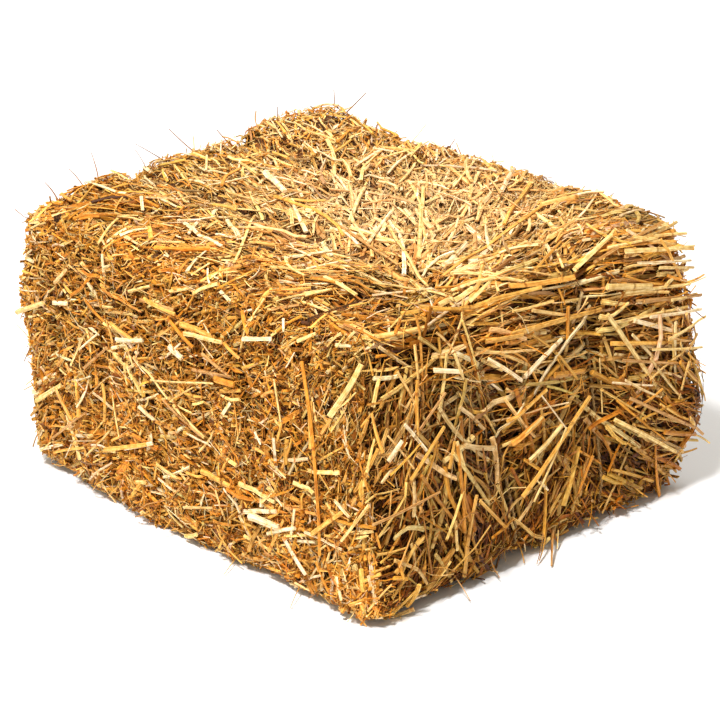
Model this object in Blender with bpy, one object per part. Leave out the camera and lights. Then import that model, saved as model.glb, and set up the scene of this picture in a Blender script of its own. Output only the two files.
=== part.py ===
"""A square straw bale: seven pressed flakes, one behind another, held by two knotted twines.

Everything is in metres, with Z up. The bale's length runs along X, its cut side faces -Y, and the end that
shows its long stalks faces +X. It lies on Z = 0, and the middle of its box stands on the origin.
"""

import math
import random

import bmesh
import bpy
from mathutils import Matrix, Vector, noise

# The pressed body, without the straw tips that stand out of it
LENGTH = 0.530
WIDTH = 0.460
HEIGHT = 0.288
EDGE_RADIUS = 0.030
LEAN = 0.034                      # how far the top lies towards -X of the bottom

# The furthest that any straw tip reaches
REACH_X = 0.291
REACH_Y = 0.246
REACH_Z = 0.314

# The flakes, which the plunger pressed one after another
FLAKES = 7
SEAM_GAP = 0.0003
SEAM_JITTER = 0.004               # how unevenly thick the flakes are
SEAM_TILT = 0.030                 # slope of a seam against the bale's own lean
FLAKE_SHIFT = 0.003               # how far a flake stands out of or into the row
SHOULDER = 0.007                  # how far a flake's edges round off towards its neighbour
SHOULDER_INNER = 0.0015
SHOULDER_BELOW = 0.004
LUMP_SIZE = 0.062
LUMP_HEIGHT = 0.0065

# Where the straw has swollen out or slumped in: place on the square box, reach and height
SWELLINGS = (
    ((-0.240, 0.160, HEIGHT), 0.085, 0.014),
    ((-0.140, 0.225, HEIGHT), 0.055, -0.007),
    ((0.262, -0.205, HEIGHT), 0.085, -0.015),
    ((-0.265, -0.230, HEIGHT), 0.070, -0.018),
    ((-0.070, -0.230, 0.015), 0.180, 0.012),
    ((0.265, 0.225, 0.100), 0.085, 0.018),
    ((0.265, 0.230, 0.0), 0.075, -0.030),
    ((0.265, 0.040, 0.0), 0.110, -0.017),
    ((0.265, 0.230, HEIGHT), 0.060, -0.009),
    ((0.265, -0.150, 0.0), 0.070, -0.014),
)

# The two twines and the grooves that they have pulled into the straw
TWINE_RADIUS = 0.0017
TWINE_CLEARANCE = 0.0007
GROOVE_DEPTH = 0.012
GROOVE_DEPTH_BELOW = 0.008
GROOVE_FLOOR = 0.004              # half the width of the groove's flat floor
GROOVE_HALF = 0.017
TURN_RADIUS = 0.055               # how widely a twine turns a corner of the bale
TURN_RADIUS_FRONT = 0.070         # and the top corner of the front end, where it bites deepest
# Each twine's Y at the four corners that it turns: top +X, bottom +X, bottom -X, top -X
TWINE_CORNERS = (
    (-0.082, -0.028, -0.060, -0.074),
    (0.072, 0.092, 0.084, 0.078),
)
KNOT_X = -0.165
KNOT_RADIUS = 0.0048
KNOT_SHAPE = (1.25, 0.8, 0.62)
KNOT_TAILS = ((0.030, 0.004, 0.006), (-0.022, -0.006, 0.006))

# Coarse straws that stand for the finer ones: how many grow from each side of a flake
STUBS_CUT_SIDE = 12
STALKS_FOLDED_SIDE = 7
STALKS_TOP = 10
STALKS_FRONT_END = 27
STALKS_FAR_END = 17
STRAW_RADIUS = (0.0022, 0.0034)
STRAW_TAPER = 0.8
SHORTEST_STRAW = 0.015
STUB_ROOT = 0.014                 # how deep a stub sits in the skin, and how far it stands out
STUB_RUN = (0.014, 0.030)
STALK_ROOT = 0.006                # how deep the foot of a lying stalk sits in the skin
TIP_LIFT = (0.003, 0.010)         # how far the other end stands off it
TOP_RUN = (0.040, 0.090)
FOLDED_RUN = (0.035, 0.080)
END_RUN = (0.060, 0.150)
END_SLOPE = (10, 22)              # an end stalk's slope in degrees, on average and its spread
END_SLOPE_BELOW = 45              # and what is added to it towards the bottom
LOWEST_STRAW = 0.010
SEED = 1886

# Single straws that stand out of the outline: flake, foot on the square box, and run from foot to tip
WHISKERS = (
    (0, (-0.252, -0.130, HEIGHT), (-0.008, -0.018, 0.026)),
    (0, (-0.262, -0.182, HEIGHT), (-0.016, -0.014, 0.020)),
    (0, (-0.262, -0.038, HEIGHT), (-0.014, -0.012, 0.016)),
    (0, (-0.258, -0.010, HEIGHT), (-0.010, -0.012, 0.022)),
    (0, (-0.258, 0.200, HEIGHT), (-0.008, 0.004, 0.018)),
    (0, (-0.232, 0.205, HEIGHT), (0.010, 0.014, 0.016)),
    (2, (-0.095, 0.205, HEIGHT), (0.006, 0.012, 0.022)),
    (0, (-0.265, -0.205, 0.190), (-0.021, -0.014, -0.012)),
)
WHISKER_RADIUS = 0.0014

FLAKE_COLOURS = (
    (0.760, 0.520, 0.235),
    (0.790, 0.560, 0.270),
    (0.740, 0.500, 0.215),
    (0.800, 0.570, 0.280),
    (0.770, 0.530, 0.245),
    (0.800, 0.580, 0.290),
    (0.780, 0.560, 0.290),
)
TWINE_COLOUR = (0.560, 0.410, 0.210)
STRAW_ROUGHNESS = 0.62
TWINE_ROUGHNESS = 0.80

# Places along a flake's thickness, and up the bale, where its surface has a row of points
THICKNESS_STEPS = (0.0, 0.15, 0.5, 0.85, 1.0)
HEIGHT_STEPS = (0.0, EDGE_RADIUS, HEIGHT / 3, HEIGHT * 2 / 3, HEIGHT - EDGE_RADIUS, HEIGHT)


def seam_layout():
    """Returns each seam's X at the middle of the bale, its slope upwards and its slope across."""
    chance = random.Random(SEED)
    places, tilts, skews = [], [], []
    for i in range(FLAKES + 1):
        inner = 0 < i < FLAKES
        places.append(-LENGTH / 2 + LENGTH * i / FLAKES + inner * chance.uniform(-SEAM_JITTER, SEAM_JITTER))
        tilts.append(inner * chance.uniform(-SEAM_TILT, SEAM_TILT))
        skews.append(inner * chance.uniform(-SEAM_TILT, SEAM_TILT))
    return places, tilts, skews


SEAMS, TILTS, SKEWS = seam_layout()


def seam_x(i, y, z):
    """X of seam i, a plane that leans with the bale."""
    return SEAMS[i] + TILTS[i] * (z - HEIGHT / 2) + SKEWS[i] * y - LEAN * (z / HEIGHT - 0.5)


def flake_at(x0):
    """Number of the flake that holds the upright box's x0."""
    return next((i for i in range(FLAKES - 1) if x0 < SEAMS[i + 1]), FLAKES - 1)


def settle(flake, x0, y, z, push_x=0.0):
    """Moves a point of the upright box to its place in the leaning bale."""
    low = seam_x(flake, y, z) + (SEAM_GAP / 2 if flake > 0 else 0.0)
    high = seam_x(flake + 1, y, z) - (SEAM_GAP / 2 if flake < FLAKES - 1 else 0.0)
    share = (x0 - SEAMS[flake]) / (SEAMS[flake + 1] - SEAMS[flake])
    return Vector((low + (high - low) * share + push_x, y, z))


def twine_y(twine, x0, z0):
    """Y of a twine, run evenly between the corners that it turns."""
    top_front, low_front, low_far, top_far = TWINE_CORNERS[twine]
    along, up = x0 / LENGTH + 0.5, z0 / HEIGHT
    far = low_far + (top_far - low_far) * up
    front = low_front + (top_front - low_front) * up
    return far + (front - far) * along


def groove_floor(x0, z0, proud=0.0):
    """X and Z of a groove's floor, which turns the bale's corners in wider arcs than the straw does."""
    turn = TURN_RADIUS_FRONT if x0 > 0 and z0 > HEIGHT / 2 else TURN_RADIUS
    core_x = min(LENGTH / 2 - turn, max(turn - LENGTH / 2, x0))
    core_z = min(HEIGHT - turn, max(turn, z0))
    away = Vector((x0 - core_x, z0 - core_z)).normalized()
    depth = GROOVE_DEPTH_BELOW + (GROOVE_DEPTH - GROOVE_DEPTH_BELOW) * min(1.0, z0 / EDGE_RADIUS)
    return Vector((core_x, core_z)) + away * (turn - depth + proud)


def groove_share(x0, y0, z0):
    """1 on a groove's floor, 0 outside it, and even between."""
    across = min(abs(y0 - twine_y(k, x0, z0)) for k in range(len(TWINE_CORNERS)))
    return 1.0 - min(1.0, max(0.0, (across - GROOVE_FLOOR) / (GROOVE_HALF - GROOVE_FLOOR)))


def rounded(flake, x0, y0, z0):
    """The upright box with its edges rounded: the point for a point of the square box, and its normal."""
    low_x = -LENGTH / 2 + EDGE_RADIUS if flake == 0 else -LENGTH
    high_x = LENGTH / 2 - EDGE_RADIUS if flake == FLAKES - 1 else LENGTH
    half_y = WIDTH / 2 - EDGE_RADIUS
    core = Vector((
        min(high_x, max(low_x, x0)),
        min(half_y, max(-half_y, y0)),
        min(HEIGHT - EDGE_RADIUS, max(EDGE_RADIUS, z0)),
    ))
    away = Vector((x0, y0, z0)) - core
    if away.length < EDGE_RADIUS * 0.5:
        return Vector((x0, y0, z0)), Vector((0.0, 0.0, 0.0))
    normal = away.normalized()
    return core + normal * EDGE_RADIUS, normal


def shoulder(flake, x0, below):
    """How far the surface drops towards a flake's edges."""
    share = (x0 - SEAMS[flake]) / (SEAMS[flake + 1] - SEAMS[flake])
    if flake == 0 and share < 0.5 or flake == FLAKES - 1 and share > 0.5:
        return 0.0
    edge = abs(2 * share - 1)
    inner = abs(2 * THICKNESS_STEPS[1] - 1)
    if below:
        return SHOULDER_BELOW * max(0.0, (edge - inner) / (1 - inner))
    if edge < inner:
        return SHOULDER_INNER * edge / inner
    return SHOULDER_INNER + (SHOULDER - SHOULDER_INNER) * (edge - inner) / (1 - inner)


def skin(flake, x0, y0, z0):
    """A point of the flake's outer surface, and its normal, for a point of the upright square box."""
    point, normal = rounded(flake, x0, y0, z0)
    if normal.length == 0.0:
        return settle(flake, x0, y0, z0), normal
    below = normal.z < -0.9
    drop = shoulder(flake, x0, below)
    push = -drop
    if not below:
        shift = random.Random(SEED + flake).uniform(-FLAKE_SHIFT, FLAKE_SHIFT)
        spot = (point + Vector((0.31 * flake, 0.0, 0.0))) / LUMP_SIZE
        push += LUMP_HEIGHT * noise.noise(spot) + shift
        for middle, reach, height in SWELLINGS:
            away = (Vector((x0, y0, z0)) - Vector(middle)).length / reach
            push += height * math.exp(-away ** 2)
    moved = point + normal * push
    sunk = groove_share(x0, y0, z0) if abs(normal.y) < 0.6 else 0.0
    if sunk > 0.0:
        floor = groove_floor(x0, z0, -drop)
        moved = moved.lerp(Vector((floor.x, y0, floor.y)), sunk)
    return settle(flake, x0, moved.y, moved.z, moved.x - x0), normal


def width_steps(x0, z0):
    """Where the surface has a row of points across the bale: the edges, and both sides of each groove."""
    steps = [-WIDTH / 2, -WIDTH / 2 + EDGE_RADIUS]
    for k in range(len(TWINE_CORNERS)):
        middle = twine_y(k, x0, z0)
        if k:
            steps.append((steps[-1] + middle - GROOVE_HALF) / 2)
        steps += [middle - GROOVE_HALF, middle - GROOVE_FLOOR, middle + GROOVE_FLOOR, middle + GROOVE_HALF]
    return steps + [WIDTH / 2 - EDGE_RADIUS, WIDTH / 2]


def thickness_steps(flake):
    """Where a flake has a row of points along its thickness, with one more where an end rounds off."""
    steps = list(THICKNESS_STEPS)
    rounding = EDGE_RADIUS / (SEAMS[flake + 1] - SEAMS[flake])
    if flake == 0:
        steps[1:2] = [rounding]
    if flake == FLAKES - 1:
        steps[3:4] = [1 - rounding]
    return steps


def gridded_block(counts):
    """A cube cut into rows of faces, counts of them along X, Y and Z."""
    mesh = bmesh.new()
    bmesh.ops.create_cube(mesh, size=2.0)
    for axis, count in enumerate(counts):
        edges = [e for e in mesh.edges if abs(e.verts[0].co[axis] - e.verts[1].co[axis]) > 1.0]
        bmesh.ops.subdivide_edges(mesh, edges=edges, cuts=count - 1, use_grid_fill=True)
    return mesh


def new_object(name, mesh, collection):
    """Puts a bmesh into the scene as an object of its own."""
    data = bpy.data.meshes.new(name)
    mesh.to_mesh(data)
    mesh.free()
    thing = bpy.data.objects.new(name, data)
    collection.objects.link(thing)
    return thing


def flake_body(flake, collection):
    """One flake without its straws: a block whose points are moved onto the bale's surface."""
    along = thickness_steps(flake)
    columns = len(width_steps(0.0, 0.0)) - 1
    rows = len(HEIGHT_STEPS) - 1
    block = gridded_block((len(along) - 1, columns, rows))
    seam_faces = [[], []]
    for face in block.faces:
        middle = face.calc_center_median()
        if middle.x < -0.999 and flake > 0:
            seam_faces[0].append(face)
        if middle.x > 0.999 and flake < FLAKES - 1:
            seam_faces[1].append(face)
    for vertex in block.verts:
        i, j, k = (
            round((vertex.co.x + 1) / 2 * (len(along) - 1)),
            round((vertex.co.y + 1) / 2 * columns),
            round((vertex.co.z + 1) / 2 * rows),
        )
        x0 = SEAMS[flake] + along[i] * (SEAMS[flake + 1] - SEAMS[flake])
        z0 = HEIGHT_STEPS[k]
        vertex.co = skin(flake, x0, width_steps(x0, z0)[j], z0)[0]
    for faces in seam_faces:
        if faces:
            bmesh.ops.dissolve_faces(block, faces=faces, use_verts=True)
    bmesh.ops.triangulate(block, faces=block.faces)
    return new_object(f"flake_{flake + 1}", block, collection)


def straw_prism(foot, tip, radius, sides=4):
    """A straight straw between two points, thinner at its tip."""
    mesh = bmesh.new()
    run = tip - foot
    turn = run.to_track_quat("Z", "Y").to_matrix().to_4x4()
    place = Matrix.Translation((foot + tip) / 2) @ turn
    ends = {"radius1": radius, "radius2": radius * STRAW_TAPER}
    bmesh.ops.create_cone(mesh, cap_ends=True, segments=sides, depth=run.length, matrix=place, **ends)
    return mesh


def distance_between(a, b, c, d):
    """Least distance between the stretches a to b and c to d, read at close steps along the first."""
    run = d - c
    steps = 12
    nearest = math.inf
    for step in range(steps + 1):
        point = a.lerp(b, step / steps)
        share = min(1.0, max(0.0, (point - c).dot(run) / run.length_squared))
        nearest = min(nearest, (point - c - run * share).length)
    return nearest


def fits(flake, foot, tip, radius, routes):
    """Whether a straw stays in its own flake's slice of the bale and clear of both twines."""
    margin = radius * 1.3 + SEAM_GAP
    for end in (foot, tip):
        if flake > 0 and end.x < seam_x(flake, end.y, end.z) + margin:
            return False
        if flake < FLAKES - 1 and end.x > seam_x(flake + 1, end.y, end.z) - margin:
            return False
    clearance = radius + TWINE_RADIUS + 2 * TWINE_CLEARANCE
    for route in routes:
        for a, b in zip(route, route[1:] + route[:1]):
            if distance_between(foot, tip, a, b) < clearance:
                return False
    return True


def within_reach(point, radius):
    """Holds a straw's tip inside the bale's box."""
    return Vector((
        min(REACH_X - radius, max(radius - REACH_X, point.x)),
        min(REACH_Y - radius, max(radius - REACH_Y, point.y)),
        min(REACH_Z - radius, max(2 * radius, point.z)),
    ))


def lying_straw(flake, chance, foot_at, tip_at):
    """A straw from a foot sunk into the skin to a tip that stands off it, both given on the square box."""
    foot, inward = skin(flake, *foot_at)
    tip, outward = skin(flake, *tip_at)
    return foot - inward * STALK_ROOT, tip + outward * chance.uniform(*TIP_LIFT)


def stub(flake, chance):
    """A short straw that stands out of the cut side."""
    x0 = chance.uniform(SEAMS[flake], SEAMS[flake + 1])
    z0 = chance.uniform(LOWEST_STRAW, HEIGHT)
    place, normal = skin(flake, x0, -WIDTH / 2, z0)
    lean = Vector((chance.uniform(-1, 1), 0.0, chance.uniform(-1.2, 0.8)))
    course = (normal + lean * chance.uniform(0.5, 1.6)).normalized()
    return place - course * STUB_ROOT, place + course * chance.uniform(*STUB_RUN)


def top_stalk(flake, chance):
    """A straw that lies across the top."""
    x0 = chance.uniform(SEAMS[flake], SEAMS[flake + 1])
    x1 = chance.uniform(SEAMS[flake], SEAMS[flake + 1])
    y0 = chance.uniform(-WIDTH / 2, WIDTH / 2)
    y1 = y0 + chance.choice((-1, 1)) * chance.uniform(*TOP_RUN)
    y1 = min(WIDTH / 2, max(-WIDTH / 2, y1))
    return lying_straw(flake, chance, (x0, y0, HEIGHT), (x1, y1, HEIGHT))


def folded_stalk(flake, chance):
    """A straw that lies up and down the folded side."""
    x0 = chance.uniform(SEAMS[flake], SEAMS[flake + 1])
    x1 = chance.uniform(SEAMS[flake], SEAMS[flake + 1])
    z0 = chance.uniform(LOWEST_STRAW, HEIGHT)
    z1 = z0 + chance.choice((-1, 1)) * chance.uniform(*FOLDED_RUN)
    z1 = min(HEIGHT, max(LOWEST_STRAW, z1))
    return lying_straw(flake, chance, (x0, WIDTH / 2, z0), (x1, WIDTH / 2, z1))


def end_stalk(flake, chance, end_x):
    """A long stalk that lies flat on an end of the bale, level higher up and steeper lower down."""
    y0 = chance.uniform(-WIDTH / 2, WIDTH / 2)
    z0 = chance.uniform(LOWEST_STRAW, HEIGHT)
    lower = (1 - z0 / HEIGHT) * chance.choice((-0.6, 1))
    slope = math.radians(chance.gauss(*END_SLOPE) + END_SLOPE_BELOW * lower)
    run = chance.choice((-1, 1)) * chance.uniform(*END_RUN)
    y1 = min(WIDTH / 2, max(-WIDTH / 2, y0 + run * math.cos(slope)))
    z1 = min(HEIGHT, max(LOWEST_STRAW, z0 + run * math.sin(slope)))
    return lying_straw(flake, chance, (end_x, y0, z0), (end_x, y1, z1))


def straws_of(flake, routes):
    """Foot, tip and radius of each coarse straw that grows from a flake."""
    chance = random.Random(SEED + 100 * flake)
    makers = [(STUBS_CUT_SIDE, stub, ()), (STALKS_FOLDED_SIDE, folded_stalk, ()), (STALKS_TOP, top_stalk, ())]
    if flake == 0:
        makers.append((STALKS_FAR_END, end_stalk, (-LENGTH / 2,)))
    if flake == FLAKES - 1:
        makers.append((STALKS_FRONT_END, end_stalk, (LENGTH / 2,)))
    straws = []
    for wanted, make, place in makers:
        found = 0
        while found < wanted:
            foot, tip = make(flake, chance, *place)
            radius = chance.uniform(*STRAW_RADIUS)
            foot, tip = within_reach(foot, radius), within_reach(tip, radius)
            if (tip - foot).length > SHORTEST_STRAW and fits(flake, foot, tip, radius, routes):
                straws.append((foot, tip, radius))
                found += 1
    for owner, foot_at, run in WHISKERS:
        if owner == flake:
            place, normal = skin(flake, *foot_at)
            straws.append((place - normal * STALK_ROOT, place + Vector(run), WHISKER_RADIUS))
    return straws


def join_all(body, tools):
    """Joins every object of a collection to a body with one union."""
    for tool in tools.objects:
        tool.hide_render = True
        tool.display_type = "WIRE"
    union = body.modifiers.new("union", "BOOLEAN")
    union.operation = "UNION"
    union.solver = "EXACT"
    union.operand_type = "COLLECTION"
    union.collection = tools


def add_straws(body, flake, routes, cutters):
    """Joins a flake's coarse straws to it, all at once."""
    straws = bpy.data.collections.new(f"straws_of_{body.name}")
    cutters.children.link(straws)
    for number, (foot, tip, radius) in enumerate(straws_of(flake, routes)):
        new_object(f"straw_{flake + 1}_{number + 1}", straw_prism(foot, tip, radius), straws)
    join_all(body, straws)


def above_groove(twine, x0, z0, lift):
    """A point over the middle of a groove's floor."""
    floor = groove_floor(x0, z0, lift)
    return settle(flake_at(x0), x0, twine_y(twine, x0, z0), floor.y, floor.x - x0)


def twine_route(twine):
    """Points of a twine once round the bale, over rows of points that its groove's floor has."""
    half = LENGTH / 2
    along = []
    for flake in range(FLAKES):
        shares = thickness_steps(flake)[1:-1]
        if 0 < flake < FLAKES - 1:
            shares = shares[1:2]
        along += [SEAMS[flake] + share * (SEAMS[flake + 1] - SEAMS[flake]) for share in shares]
    box = [(x0, HEIGHT) for x0 in along]
    box += [(half, z0) for z0 in reversed(HEIGHT_STEPS)]
    box += [(x0, 0.0) for x0 in reversed(along)]
    box += [(-half, z0) for z0 in HEIGHT_STEPS]
    lift = TWINE_RADIUS + TWINE_CLEARANCE
    return [above_groove(twine, x0, z0, lift) for x0, z0 in box]


def welded(curve_object, collection):
    """The curve as a mesh object with its loose points merged."""
    evaluated = curve_object.evaluated_get(bpy.context.evaluated_depsgraph_get())
    data = bpy.data.meshes.new_from_object(evaluated)
    mesh = bmesh.new()
    mesh.from_mesh(data)
    bmesh.ops.remove_doubles(mesh, verts=mesh.verts, dist=0.00001)
    name = curve_object.name
    curve = curve_object.data
    bpy.data.objects.remove(curve_object)
    bpy.data.curves.remove(curve)
    return new_object(name, mesh, collection)


def twine_loop(twine, route, collection):
    """A closed loop of twine along its route."""
    curve = bpy.data.curves.new(f"twine_{twine + 1}", "CURVE")
    curve.dimensions = "3D"
    curve.bevel_depth = TWINE_RADIUS
    curve.bevel_resolution = 2
    spline = curve.splines.new("POLY")
    spline.points.add(len(route) - 1)
    for point, place in zip(spline.points, route):
        point.co = (*place, 1.0)
    spline.use_cyclic_u = True
    loop = bpy.data.objects.new(f"twine_{twine + 1}", curve)
    collection.objects.link(loop)
    bpy.context.view_layer.update()
    return welded(loop, collection)


def add_knot(loop, twine, cutters):
    """The knot on top of the bale, with the two cut tails that stand out of it."""
    rise = TWINE_RADIUS + TWINE_CLEARANCE + KNOT_RADIUS * 0.45
    middle = above_groove(twine, KNOT_X, HEIGHT, rise)
    parts = bpy.data.collections.new(f"knot_{twine + 1}")
    cutters.children.link(parts)
    ball = bmesh.new()
    place = Matrix.Translation(middle) @ Matrix.Diagonal((*KNOT_SHAPE, 1))
    bmesh.ops.create_icosphere(ball, subdivisions=1, radius=KNOT_RADIUS, matrix=place)
    new_object(f"knot_{twine + 1}_ball", ball, parts)
    for number, run in enumerate(KNOT_TAILS):
        tail = straw_prism(middle + Vector(run) * 0.05, middle + Vector(run), TWINE_RADIUS * 0.9, 6)
        new_object(f"knot_{twine + 1}_tail_{number + 1}", tail, parts)
    join_all(loop, parts)


def finish(name, colour, roughness):
    """A plain material for one piece."""
    material = bpy.data.materials.new(name)
    material.use_nodes = True
    shader = material.node_tree.nodes["Principled BSDF"]
    shader.inputs["Base Color"].default_value = (*colour, 1.0)
    shader.inputs["Roughness"].default_value = roughness
    shader.inputs["Metallic"].default_value = 0.0
    return material


def build():
    """Makes the flakes with their straws, and the twines with their knots."""
    for thing in list(bpy.data.objects):
        bpy.data.objects.remove(thing)
    bale = bpy.data.collections.new("straw_bale")
    cutters = bpy.data.collections.new("cutters")
    bpy.context.scene.collection.children.link(bale)
    bpy.context.scene.collection.children.link(cutters)
    routes = [twine_route(k) for k in range(len(TWINE_CORNERS))]
    for flake in range(FLAKES):
        body = flake_body(flake, bale)
        add_straws(body, flake, routes, cutters)
        body.data.materials.append(finish(f"straw_{flake + 1}", FLAKE_COLOURS[flake], STRAW_ROUGHNESS))
    for twine, route in enumerate(routes):
        loop = twine_loop(twine, route, bale)
        add_knot(loop, twine, cutters)
        loop.data.materials.append(finish(f"sisal_{twine + 1}", TWINE_COLOUR, TWINE_ROUGHNESS))


build()
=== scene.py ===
"""A small square straw bale: the loose straws on its seven flakes, its two twines, and a pale studio."""
import math

import bpy
import numpy as np
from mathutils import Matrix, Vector


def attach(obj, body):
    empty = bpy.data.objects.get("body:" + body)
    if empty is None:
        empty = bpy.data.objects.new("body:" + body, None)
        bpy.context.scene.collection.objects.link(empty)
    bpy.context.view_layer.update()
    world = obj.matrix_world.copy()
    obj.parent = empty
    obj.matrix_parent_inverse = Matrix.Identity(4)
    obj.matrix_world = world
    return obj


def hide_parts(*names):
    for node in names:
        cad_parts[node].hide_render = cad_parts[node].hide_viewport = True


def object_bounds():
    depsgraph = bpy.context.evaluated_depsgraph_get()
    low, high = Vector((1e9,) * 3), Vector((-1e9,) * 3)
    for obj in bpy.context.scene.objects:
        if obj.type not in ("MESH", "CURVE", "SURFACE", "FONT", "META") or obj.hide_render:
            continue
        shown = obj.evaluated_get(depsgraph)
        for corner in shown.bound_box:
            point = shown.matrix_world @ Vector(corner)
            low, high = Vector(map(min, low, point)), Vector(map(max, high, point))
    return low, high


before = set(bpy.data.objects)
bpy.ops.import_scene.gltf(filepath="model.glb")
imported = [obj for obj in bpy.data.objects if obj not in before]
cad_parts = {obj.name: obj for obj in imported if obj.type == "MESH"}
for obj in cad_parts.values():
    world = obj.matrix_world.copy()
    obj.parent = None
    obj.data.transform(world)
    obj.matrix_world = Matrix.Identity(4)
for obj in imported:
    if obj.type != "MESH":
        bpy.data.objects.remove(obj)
CAD_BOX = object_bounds()

# The pressed straw without its tips, in metres, as the solids have it
LENGTH = 0.530
WIDTH = 0.460
HEIGHT = 0.288
EDGE_RADIUS = 0.030
LEAN = 0.034
FLAKES = 7
# The eight seams: where they stand at mid height, their slope upwards and their slope across
SEAMS = np.array((-0.26500, -0.18622, -0.11015, -0.03752, 0.03760, 0.11213, 0.18877, 0.26500))
TILTS = np.array((0.0, 0.00923, -0.00991, -0.00290, 0.00843, -0.02868, 0.01305, 0.0))
SKEWS = np.array((0.0, 0.02543, -0.01260, -0.01317, -0.01894, 0.02525, 0.01247, 0.0))
FLAKE_SHIFTS = np.array((-0.0028, -0.0009, 0.0007, -0.0012, -0.0007, 0.0013, 0.0029))
SHOULDER = 0.007
SHOULDER_INNER = 0.0015
SHOULDER_BELOW = 0.004
INNER_SHARE = 0.7
LUMP_SIZE = 0.045
LUMP_HEIGHT = 0.0045
# Swellings and hollows of the whole bale: place on the square box, reach, and height along the normal
SWELLINGS = (
    ((-0.240, 0.160, HEIGHT), 0.085, 0.014),
    ((-0.140, 0.225, HEIGHT), 0.055, -0.007),
    ((0.262, -0.205, HEIGHT), 0.085, -0.015),
    ((-0.265, -0.230, HEIGHT), 0.070, -0.018),
    ((-0.070, -0.230, 0.015), 0.180, 0.012),
    ((0.265, 0.225, 0.100), 0.085, 0.018),
    ((0.265, 0.230, 0.0), 0.075, -0.030),
    ((0.265, 0.040, 0.0), 0.110, -0.017),
    ((0.265, 0.230, HEIGHT), 0.060, -0.009),
    ((0.265, -0.150, 0.0), 0.070, -0.014),
)

# The grooves that the twines pull: Y of each twine at top front, bottom front, bottom far and top far
TWINE_CORNERS = np.array(((-0.082, -0.028, -0.060, -0.074), (0.072, 0.092, 0.084, 0.078)))
GROOVE_DEPTH = 0.012
GROOVE_DEPTH_BELOW = 0.008
GROOVE_FLOOR = 0.004
GROOVE_HALF = 0.017
TURN_RADIUS = 0.055
TURN_RADIUS_FRONT = 0.070

SEED = 1886
CHANCE = np.random.default_rng(SEED)
# Millimetres in a metre, for the tables of places
MM = 1000.0

# Colours of the straw, from the palest to the darkest
CREAM = (0.94, 0.80, 0.56)
PALE = (0.89, 0.68, 0.30)
GOLD = (0.79, 0.465, 0.110)
ORANGE = (0.67, 0.30, 0.036)
TAN = (0.56, 0.32, 0.115)
BROWN = (0.30, 0.112, 0.011)
GREY = (0.38, 0.23, 0.10)
DARK = (0.08, 0.025, 0.003)
PALETTE = np.array((CREAM, PALE, GOLD, ORANGE, TAN, BROWN, GREY, DARK))

TABLE = np.random.default_rng(SEED + 1).uniform(-1.0, 1.0, 4096)
CUBE_CORNERS = np.array([(i, j, k) for i in (0, 1) for j in (0, 1) for k in (0, 1)])


def lumps(point, size, seed):
    """Smooth heights from -1 to 1: random values at the corners of a cubic grid, blended by 3s^2 - 2s^3 on
    each axis.
    """
    spot = point / size
    base = np.floor(spot).astype(np.int64)
    share = spot - base
    share = share * share * (3.0 - 2.0 * share)
    total = 0.0
    for corner in CUBE_CORNERS:
        weight = np.prod(np.where(corner == 1, share, 1.0 - share), axis=-1)
        x, y, z = np.moveaxis(base + corner, -1, 0)
        mixed = (x * 73856093) ^ (y * 19349663) ^ (z * 83492791) ^ (seed * 7919)
        total = total + weight * TABLE[mixed & 4095]
    return total


def unit(vector):
    """The vectors at length 1."""
    return vector / np.maximum(np.linalg.norm(vector, axis=-1, keepdims=True), 1e-9)


def flake_at(x0):
    """Number of the flake that holds the upright box's x0."""
    return np.clip(np.searchsorted(SEAMS, x0) - 1, 0, FLAKES - 1)


def seam_x(seam, y, z):
    """X of a seam: its place, plus slope by height and by width, less the bale's lean."""
    return SEAMS[seam] + TILTS[seam] * (z - HEIGHT / 2) + SKEWS[seam] * y - LEAN * (z / HEIGHT - 0.5)


def settled(flake, x0, point):
    """Points of the upright box in the leaning bale: x goes as far between the two leaning seams as x0 is
    between them.
    """
    y, z = point[:, 1], point[:, 2]
    low, high = seam_x(flake, y, z), seam_x(flake + 1, y, z)
    share = (x0 - SEAMS[flake]) / (SEAMS[flake + 1] - SEAMS[flake])
    return np.stack((low + (high - low) * share + point[:, 0] - x0, y, z), axis=1)


def twine_y(twine, x0, z0):
    """Y of a twine, blended evenly along the bale and up it between the corners that it turns."""
    top_front, low_front, low_far, top_far = TWINE_CORNERS[twine]
    along, up = x0 / LENGTH + 0.5, z0 / HEIGHT
    far = low_far + (top_far - low_far) * up
    front = low_front + (top_front - low_front) * up
    return far + (front - far) * along


def from_twine(x0, y0, z0):
    """How far sideways points of the box are from the nearer twine."""
    return np.min([np.abs(y0 - twine_y(k, x0, z0)) for k in range(len(TWINE_CORNERS))], axis=0)


def groove_floor(x0, z0, proud):
    """X and Z of a groove's floor: the box's outline with corners of a wide arc, let in by the groove's
    depth.
    """
    turn = np.where((x0 > 0) & (z0 > HEIGHT / 2), TURN_RADIUS_FRONT, TURN_RADIUS)
    core = np.stack((
        np.clip(x0, turn - LENGTH / 2, LENGTH / 2 - turn),
        np.clip(z0, turn, HEIGHT - turn),
    ), axis=1)
    away = unit(np.stack((x0, z0), axis=1) - core)
    depth = GROOVE_DEPTH_BELOW + (GROOVE_DEPTH - GROOVE_DEPTH_BELOW) * np.minimum(1.0, z0 / EDGE_RADIUS)
    return core + away * (turn - depth + proud)[:, None]


def shoulder(flake, x0, below):
    """How far the surface drops towards a flake's edges: slowly up to the inner share, then fast."""
    share = (x0 - SEAMS[flake]) / (SEAMS[flake + 1] - SEAMS[flake])
    edge = np.abs(2.0 * share - 1.0)
    drop = np.interp(edge, (0.0, INNER_SHARE, 1.0), (0.0, SHOULDER_INNER, SHOULDER))
    drop = np.where(below, np.interp(edge, (INNER_SHARE, 1.0), (0.0, SHOULDER_BELOW)), drop)
    open_end = ((flake == 0) & (share < 0.5)) | ((flake == FLAKES - 1) & (share > 0.5))
    return np.where(open_end, 0.0, drop)


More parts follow.
